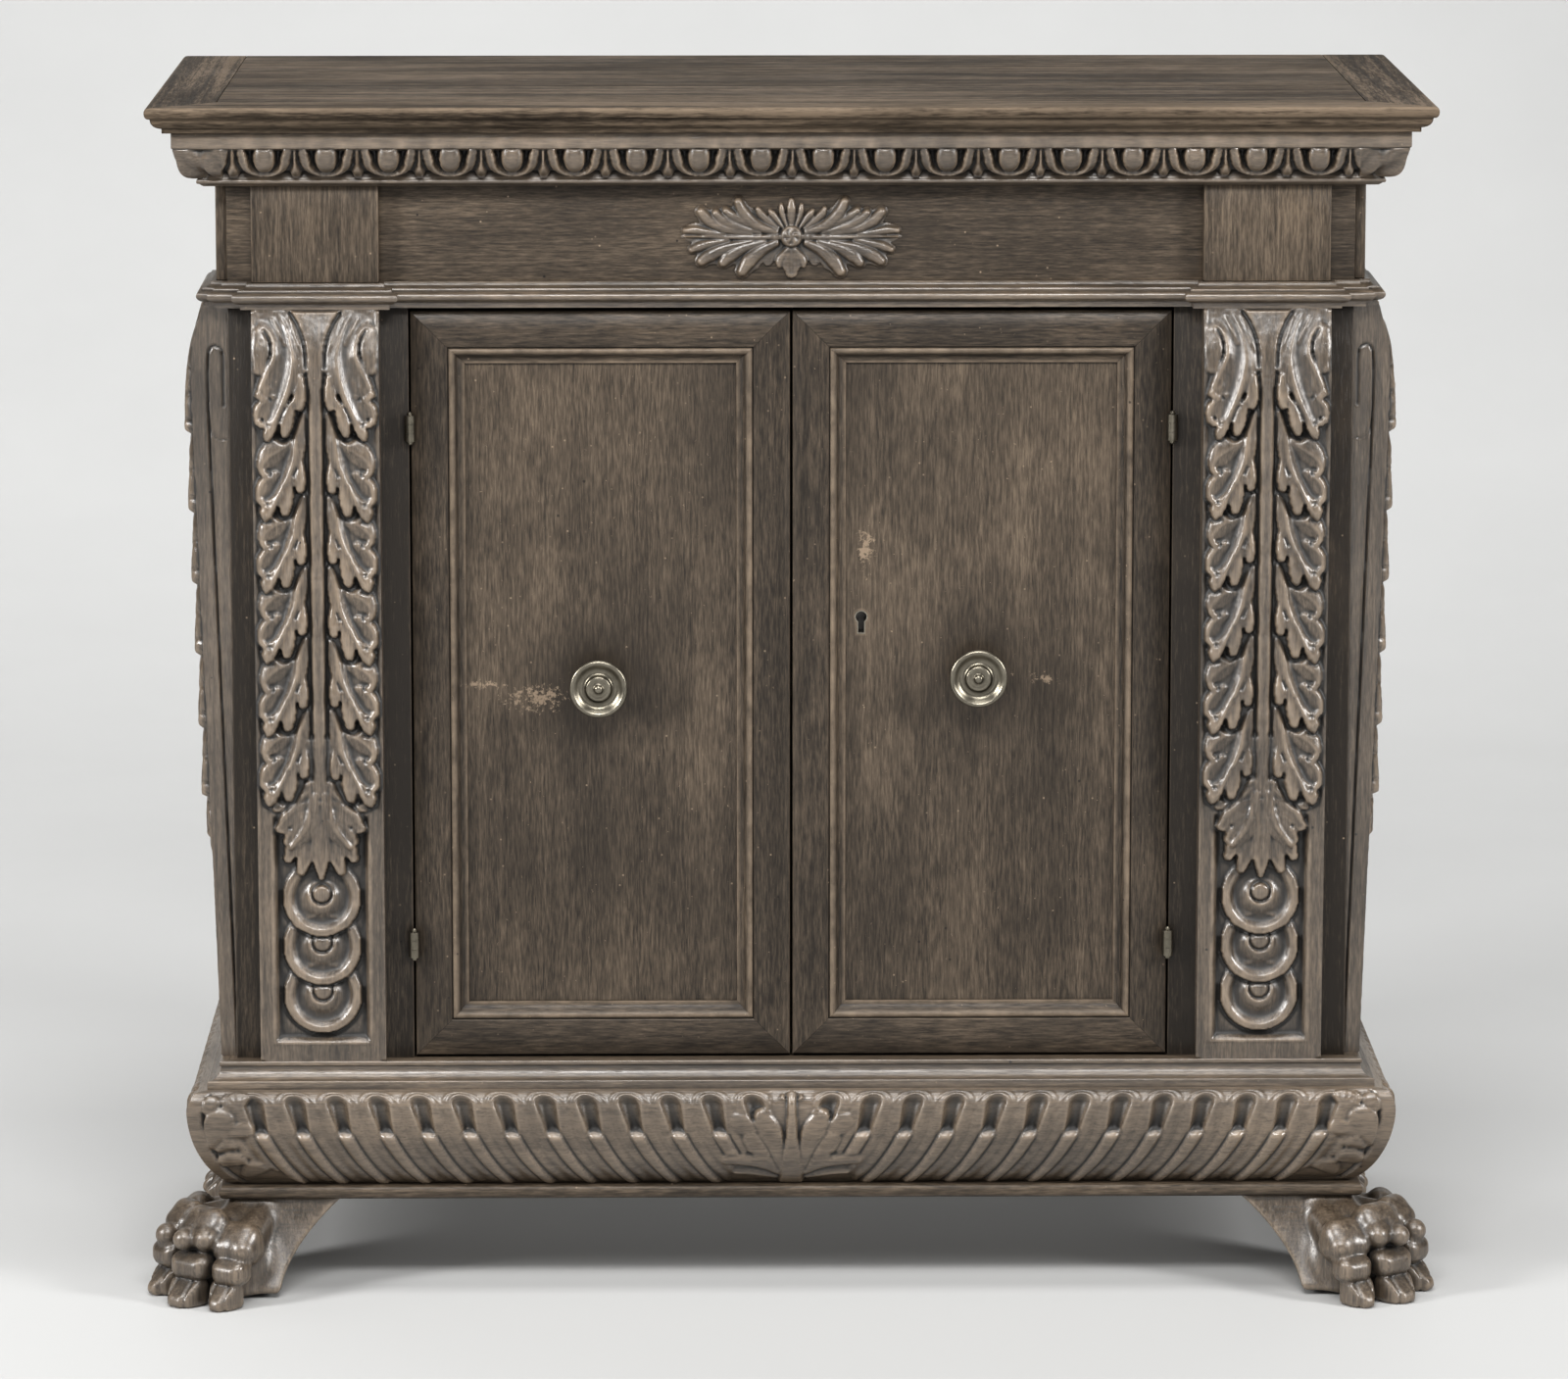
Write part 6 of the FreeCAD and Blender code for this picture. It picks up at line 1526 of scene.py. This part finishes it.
# keyhole lining: a thin bent strip
b = Build("keyhole_lining")
o, i = keyhole_outline(5.5, 3.4, 14.4), keyhole_outline(4.6, 2.5, 13.5)
n = len(o)
verts = [(x, -148.6, z) for x, z in o] + [(x, -148.6, z) for x, z in i] + [(x, -138.0, z) for x, z in o] + [(x, -138.0, z) for x, z in i]
faces = []
for k in range(n):
    q = (k + 1) % n
    faces += [[k, q, n + q, n + k], [n + k, n + q, 3 * n + q, 3 * n + k], [3 * n + k, 3 * n + q, 2 * n + q, 2 * n + k], [2 * n + k, 2 * n + q, q, k]]
b.add(verts, faces, cav=0.8, grain="y", seed=671)
b.object("right_door", BRASS, "brass", ["keyhole_lining"], sharp=40)

# lock case with four screws
b = Build("lock_case")
board(b, 6, 90, -136, -120, 535, 607, r=1.2, grain="x", seed=672, wear=0.5)
for x in (14, 82):
    for z in (543, 599):
        prof = [(0.0, -118.6), (2.2, -118.8), (3.6, -119.4), (4.0, -120.2), (0.0, -120.2)]
        lathe(b, prof[::-1], (x, z), True, 20, [0.2] * 5, seed=673)
b.object("right_door", IRON, "iron", ["lock_case"], sharp=40)
for nm in ("hinge_frame_leaves", "hinge_pins", "left_door_hinge_leaves", "right_door_hinge_leaves", "left_knob_nut", "right_knob_nut"):
    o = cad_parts[nm]
    o.data.materials.clear()
    o.data.materials.append(BRASS)
for nm in ("lock_bolt", "bolt_keeper", "slide_bolt", "slide_bolt_staples"):
    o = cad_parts[nm]
    o.data.materials.clear()
    o.data.materials.append(IRON)


# ---------------------------------------------------------------------------------------------- paws
def surface_nets(vol, lo, step):
    """Mesh of the zero level of a distance grid (negative inside)."""
    neg = vol < 0
    nx, ny, nz = vol.shape
    c = np.stack([neg[i:nx - 1 + i, j:ny - 1 + j, k:nz - 1 + k] for i in (0, 1) for j in (0, 1) for k in (0, 1)])
    cnt = c.sum(0)
    act = (cnt > 0) & (cnt < 8)
    ids = np.full(act.shape, -1)
    ids[act] = np.arange(act.sum())
    cell = np.argwhere(act)
    acc = np.zeros((len(cell), 3))
    num = np.zeros(len(cell))
    corner = [(i, j, k) for i in (0, 1) for j in (0, 1) for k in (0, 1)]
    for a in range(8):
        for e in range(3):
            p = corner[a]
            if p[e]:
                continue
            q = list(p)
            q[e] = 1
            va = vol[cell[:, 0] + p[0], cell[:, 1] + p[1], cell[:, 2] + p[2]]
            vb = vol[cell[:, 0] + q[0], cell[:, 1] + q[1], cell[:, 2] + q[2]]
            m = (va < 0) != (vb < 0)
            t = np.where(m, va / np.where(m, va - vb, 1), 0)
            pt = np.repeat(np.array(p, float)[None], len(cell), 0)
            pt[:, e] += t
            acc += np.where(m[:, None], pt, 0)
            num += m
    verts = (cell + acc / num[:, None]) * step + np.asarray(lo)
    faces = []
    for e in range(3):
        f1, f2 = (e + 1) % 3, (e + 2) % 3
        sl0 = [slice(None)] * 3
        sl1 = [slice(None)] * 3
        sl0[e], sl1[e] = slice(0, -1), slice(1, None)
        a, d = neg[tuple(sl0)], neg[tuple(sl1)]
        for flip in (False, True):
            hit = np.argwhere((a & ~d) if not flip else (~a & d))
            hit = hit[(hit[:, f1] > 0) & (hit[:, f2] > 0) & (hit[:, f1] < vol.shape[f1] - 1) & (hit[:, f2] < vol.shape[f2] - 1)]
            q = []
            for d1, d2 in ((1, 1), (0, 1), (0, 0), (1, 0)):
                h = hit.copy()
                h[:, f1] -= d1
                h[:, f2] -= d2
                q.append(ids[h[:, 0], h[:, 1], h[:, 2]])
            q = np.stack(q, 1)
            faces.append(q[:, ::-1] if flip else q)
    return verts, np.concatenate(faces)


def smin(a, b, k):
    h = np.clip(0.5 + 0.5 * (b - a) / k, 0, 1)
    return b * (1 - h) + a * h - k * h * (1 - h)


def smax(a, b, k):
    return -smin(-a, -b, k)


def capsule(P, a, b, r0, r1):
    a, b = np.asarray(a, float), np.asarray(b, float)
    d = b - a
    t = np.clip(((P - a) @ d) / (d @ d), 0, 1)
    return np.linalg.norm(P - a - t[..., None] * d, axis=-1) - (r0 + (r1 - r0) * t)


def ellipsoid(P, c, r, ax=None):
    q = (P - np.asarray(c, float))
    if ax is not None:
        q = q @ np.asarray(ax, float).T
    r = np.asarray(r, float)
    k0 = np.linalg.norm(q / r, axis=-1)
    k1 = np.linalg.norm(q / (r * r), axis=-1)
    return k0 * (k0 - 1) / np.maximum(k1, 1e-9)


def rounded_box(P, c, f, half, r):
    """A box with rounded edges that heads along f in plan."""
    q = P - np.asarray(c, float)
    a = q[..., 0] * f[0] + q[..., 1] * f[1]
    s = q[..., 1] * f[0] - q[..., 0] * f[1]
    d = np.stack([np.abs(a) - half[0] + r, np.abs(s) - half[1] + r, np.abs(q[..., 2]) - half[2] + r], -1)
    return np.linalg.norm(np.maximum(d, 0), axis=-1) + np.minimum(d.max(-1), 0) - r, a, s, q[..., 2]


def toe(P, K, M, C, f, kr, hw):
    """Knuckle with its bumps, a square middle joint and a broad claw under a hood."""
    f = np.array([f[0], f[1], 0.0]) / math.hypot(*f)
    sd = np.array([-f[1], f[0], 0.0])
    up = np.array([0.0, 0.0, 1.0])
    K, M, C = (np.asarray(i, float) for i in (K, M, C))
    d = ellipsoid(P, K, (kr, kr * 1.02, kr * 0.98), np.stack([f, sd, up]))
    for e in (-1, 1):
        d = smin(d, np.linalg.norm(P - (K + f * kr * 0.58 + sd * e * kr * 0.46 - up * kr * 0.02), axis=-1) - kr * 0.53, 6.0)
        d = smin(d, np.linalg.norm(P - (K + f * kr * 0.02 + sd * e * kr * 0.40 + up * kr * 0.52), axis=-1) - kr * 0.54, 6.0)
    mid, a, s, z = rounded_box(P, M, f, (13.5, hw, 12.5), 10.0)
    mid = smax(mid, (a * 0.55 + z * 0.83) - 11.5, 4.0)
    d = smin(d, mid, 3.0)
    claw, a, s, z = rounded_box(P, C, f, (15.0, hw * 0.92, 12.5), 7.0)
    claw = smax(claw, (a * 0.66 + z * 0.75) - 7.6, 3.0)
    claw = smax(claw, np.abs(s) + a * 0.50 - hw * 0.86, 4.0)
    # the nail stands a little above the flesh, with a groove on each side
    claw = claw + 1.8 * np.exp(-((np.abs(s) - hw * 0.44) / 1.4) ** 2) * smooth((a + 8) / 8.0)
    d = smin(d, claw, 1.0)
    return d


def paw(front, step=1.4):
    """A left-hand lion's paw: a slanting leg under the corner and toes turned outwards."""
    lo = np.array([-555.0, -252.0, -4.2]) if front else np.array([-555.0, 118.0, -4.2])
    hi = np.array([-376.0, -62.0, 86.0]) if front else np.array([-376.0, 238.0, 86.0])
    ax = [np.arange(lo[i], hi[i] + step, step) for i in range(3)]
    P = np.stack(np.meshgrid(*ax, indexing="ij"), -1)
    x, y, z = P[..., 0], P[..., 1], P[..., 2]
    t = np.clip(z / 80.0, 0, 1)
    if front:
        x_in, x_out = -434.0 + 52.0 * t ** 1.75, -478.0 - 20.0 * (1 - t)
        y_f, y_b = -166.0 - 36.0 * (1 - t) ** 1.3, -73.0 - 34.0 * (1 - t)
        toes = [((-466, -206, 48), (-473, -222, 31), (-480, -229, 11), (-0.50, -0.86), 19.5, 15.5), ((-494, -192, 57), (-506, -207, 33), (-513, -215, 11), (-0.62, -0.78), 20.5, 18.5),
                ((-511, -161, 59), (-527, -173, 35), (-533, -178, 12), (-0.80, -0.60), 17.0, 15.5), ((-505, -128, 56), (-523, -131, 34), (-530, -132, 12), (-0.99, -0.14), 17.0, 15.0)]
        extra = [((-530, -177, 51), 10.0), ((-514, -209, 55), 9.0), ((-496, -214, 56), 9.0)]
        palm = ellipsoid(P, (-482, -168, 30), (40, 42, 33))
        root = (-436, -128)
    else:
        x_in, x_out = -416.0 + 31.0 * t, -478.0 - 14.0 * (1 - t)
        y_f, y_b = 130.0 - 0.0 * t, 224.0 + 0.0 * t
        toes = [((-476 - 4 * (abs(k) < 1), 177 + 25.0 * k, 52), (-497 - 4 * (abs(k) < 1), 177 + 25.5 * k, 33), (-505 - 4 * (abs(k) < 1), 177 + 25.8 * k, 11), (-1.0, 0.10 * k), 15.5, 12.4) for k in (-1.5, -0.5, 0.5, 1.5)]
        extra = []
        palm = ellipsoid(P, (-476, 177, 30), (34, 46, 32))
        root = (-436, 177)
    inner = smax(x - x_in, y_f - y, 3.0)
    leg = smax(smax(inner, x_out - x, 8.0), y - y_b, 8.0)
    leg = smax(leg, 0.6 * (4.0 - z), 4.0)
    f = smin(leg, palm, 14.0)
    for K, M, C, h, kr, hw in toes:
        d = capsule(P, K, (0.45 * K[0] + 0.55 * root[0], 0.45 * K[1] + 0.55 * root[1], 64.0), kr * 0.74, 11.0)
        f = smin(f, d, 9.0)
    for K, M, C, h, kr, hw in toes:
        f = smin(f, toe(P, K, M, C, h, kr, hw), 2.0)
    for c, r in extra:
        f = smin(f, np.linalg.norm(P - np.asarray(c, float), axis=-1) - r, 5.0)
    under = np.where((x > -488) & (y > -176), z - 80.0, z - 82.0)
    f = smax(f, under, 0.6)
    f = smax(f, -z, 1.0)
    v, q = surface_nets(f, lo, step)
    v[:, 2] = np.clip(v[:, 2], 0.0, np.where((v[:, 0] > -488) & (v[:, 1] > -176), 80.0, 82.0))
    # cavity from the grid: mean distance nearby compared with a flat wall
    g = np.clip(f, -12, 12)
    sm = g.copy()
    for a in range(3):
        for _ in range(2):
            r = 3
            cs = np.cumsum(np.pad(sm, [(r + 1, r) if i == a else (0, 0) for i in range(3)], mode="edge"), axis=a)
            nn = sm.shape[a]
            sm = (np.take(cs, np.arange(2 * r + 1, 2 * r + 1 + nn), axis=a) - np.take(cs, np.arange(nn), axis=a)) / (2 * r + 1)
    idx = np.clip(np.round((v - lo) / step).astype(int), 0, np.array(f.shape) - 1)
    cv = np.clip(sm[idx[:, 0], idx[:, 1], idx[:, 2]] / 2.0, -1, 1)
    return v, q, cv


for front in (True, False):
    v, q, cv = paw(front)
    tag = "front" if front else "rear"
    for s, nm in ((1, "left"), (-1, "right")):
        b = Build(f"foot_{tag}_{nm}")
        b.add(v * np.array([s, 1, 1]), q, cav=cv, grain="z", seed=681 + s + 5 * front, tone=0.0)
        b.object("carcass", CARVED, "carved_walnut", [f"foot_{tag}_{nm}"], sharp=70)


# ---------------------------------------------------------------------------------------------- floor, light, camera
def simple(name, col, rough=0.6):
    m = Nodes(name)
    n = m.noise(m.scale(m.objco(), (3, 3, 3)), 1.0, 3, 0.6)
    # the paper is grey far in front of the object, so that the polish mirrors less of it; from the object back it is
    # darkened and brightens towards the backdrop, painted shade that holds down the lamps' bright pool near the object
    sep = m.nt.nodes.new("ShaderNodeSeparateXYZ")
    m.link(m.objco(), sep.inputs[0])
    near = m.rng(sep.outputs[1], -2.8, -0.9, 0.0, 1.0)
    far = m.rng(sep.outputs[1], -0.8, 3.2, 0.0, 1.0)
    pale = m.mix(far, tuple(c * 0.59 for c in col), m.ramp(n, [(0.3, tuple(c * 0.97 for c in col)), (0.7, col)]))
    m.link(m.mix(near, (0.36, 0.36, 0.36), pale), m.bsdf.inputs["Base Color"])
    m.bsdf.inputs["Roughness"].default_value = rough
    m.bsdf.inputs["Specular IOR Level"].default_value = 0.2
    return m


pale = simple("pale_floor", (0.785, 0.785, 0.777))
me = bpy.data.meshes.new("floor")
# floor that sweeps up behind the object and far in front; its back is clear so that it never hides the object
rows = [(-7.8, 7.0)]
for t in np.linspace(math.pi / 2, 0, 13):
    rows.append((-6.2 - 1.6 * math.sin(t), 1.6 * (1 - math.cos(t))))
rows.append((2.2, 0.0))
for t in np.linspace(0, math.pi / 2, 17)[1:]:
    rows.append((2.2 + 2.6 * math.sin(t), 2.6 * (1 - math.cos(t))))
rows.append((4.8, 7.0))
vs, fs = [], []
for y, z in rows:
    vs += [(-9.0, y, z), (9.0, y, z)]
for i in range(len(rows) - 1):
    fs.append([2 * i, 2 * i + 1, 2 * i + 3, 2 * i + 2])
me.from_pydata(vs, [], fs)
me.update()
me.polygons.foreach_set("use_smooth", np.ones(len(fs), bool))
geo = pale.nt.nodes.new("ShaderNodeNewGeometry")
clear = pale.nt.nodes.new("ShaderNodeBsdfTransparent")
mixer = pale.nt.nodes.new("ShaderNodeMixShader")
pale.link(geo.outputs["Backfacing"], mixer.inputs[0])
pale.link(pale.bsdf.outputs[0], mixer.inputs[1])
pale.link(clear.outputs[0], mixer.inputs[2])
pale.link(mixer.outputs[0], pale.out.inputs[0])
me.materials.append(pale.mat)
floor = bpy.data.objects.new("floor", me)
bpy.context.scene.collection.objects.link(floor)


def area(name, loc, target, size, power, size_y=None, color=(1, 1, 1)):
    li = bpy.data.lights.new(name, "AREA")
    li.shape = "RECTANGLE"
    li.size, li.size_y = size, size_y or size
    li.energy = power
    li.color = color
    o = bpy.data.objects.new(name, li)
    o.location = loc
    o.rotation_mode = "QUATERNION"
    o.rotation_quaternion = (Vector(target) - Vector(loc)).to_track_quat("-Z", "Y")
    bpy.context.scene.collection.objects.link(o)
    return o


area("left_light", (-3.2, -1.8, 1.9), (-0.1, -0.15, 0.6), 0.7, 122, 1.4)
area("right_light", (3.2, -1.8, 1.9), (0.1, -0.15, 0.6), 0.7, 110, 1.4)
area("top_light", (0.0, -0.9, 4.2), (0, -0.6, 0.0), 3.0, 70, 0.9)
area("front_light", (-0.1, -2.3, 2.5), (0, -0.15, 0.95), 1.6, 66, 0.5)
area("low_light", (0.0, -2.7, 0.32), (0, 0, 0.06), 2.8, 7, 0.3)
area("back_light", (-0.5, 1.7, 4.6), (-0.5, 2.6, 0.0), 4.0, 76, 2.0)
far = area("far_light", (0.0, -3.9, 3.6), (0.0, -5.1, 0.0), 6.0, 100, 1.2)
far.data.spread = math.radians(94)
area("under_light", (0.0, 0.03, 0.078), (0.0, 0.03, 0.0), 0.84, 0.15, 0.3)
world = bpy.data.worlds.new("studio")
world.use_nodes = True
bg = world.node_tree.nodes["Background"]
bg.inputs[0].default_value = (0.84, 0.85, 0.86, 1)
bg.inputs[1].default_value = 0.12
bpy.context.scene.world = world

cam = bpy.data.cameras.new("camera")
cam_o = bpy.data.objects.new("camera", cam)
bpy.context.scene.collection.objects.link(cam_o)
cam.sensor_width = 36.0
cam.sensor_fit = "HORIZONTAL"
cam.lens = 36.0 * 7202.28 / 1600
cam.shift_y = -0.07
cam.clip_end = 60
cam_o.location = (-0.08204, -6.0, 1.6007)
cam_o.rotation_mode = "XYZ"
cam_o.rotation_euler = (math.pi / 2 - 0.1679, 0, -0.013)
bpy.context.scene.camera = cam_o
bpy.context.scene.view_settings.view_transform = "Standard"
bpy.context.scene.view_settings.look = "None"
bpy.context.scene.view_settings.gamma = 0.82
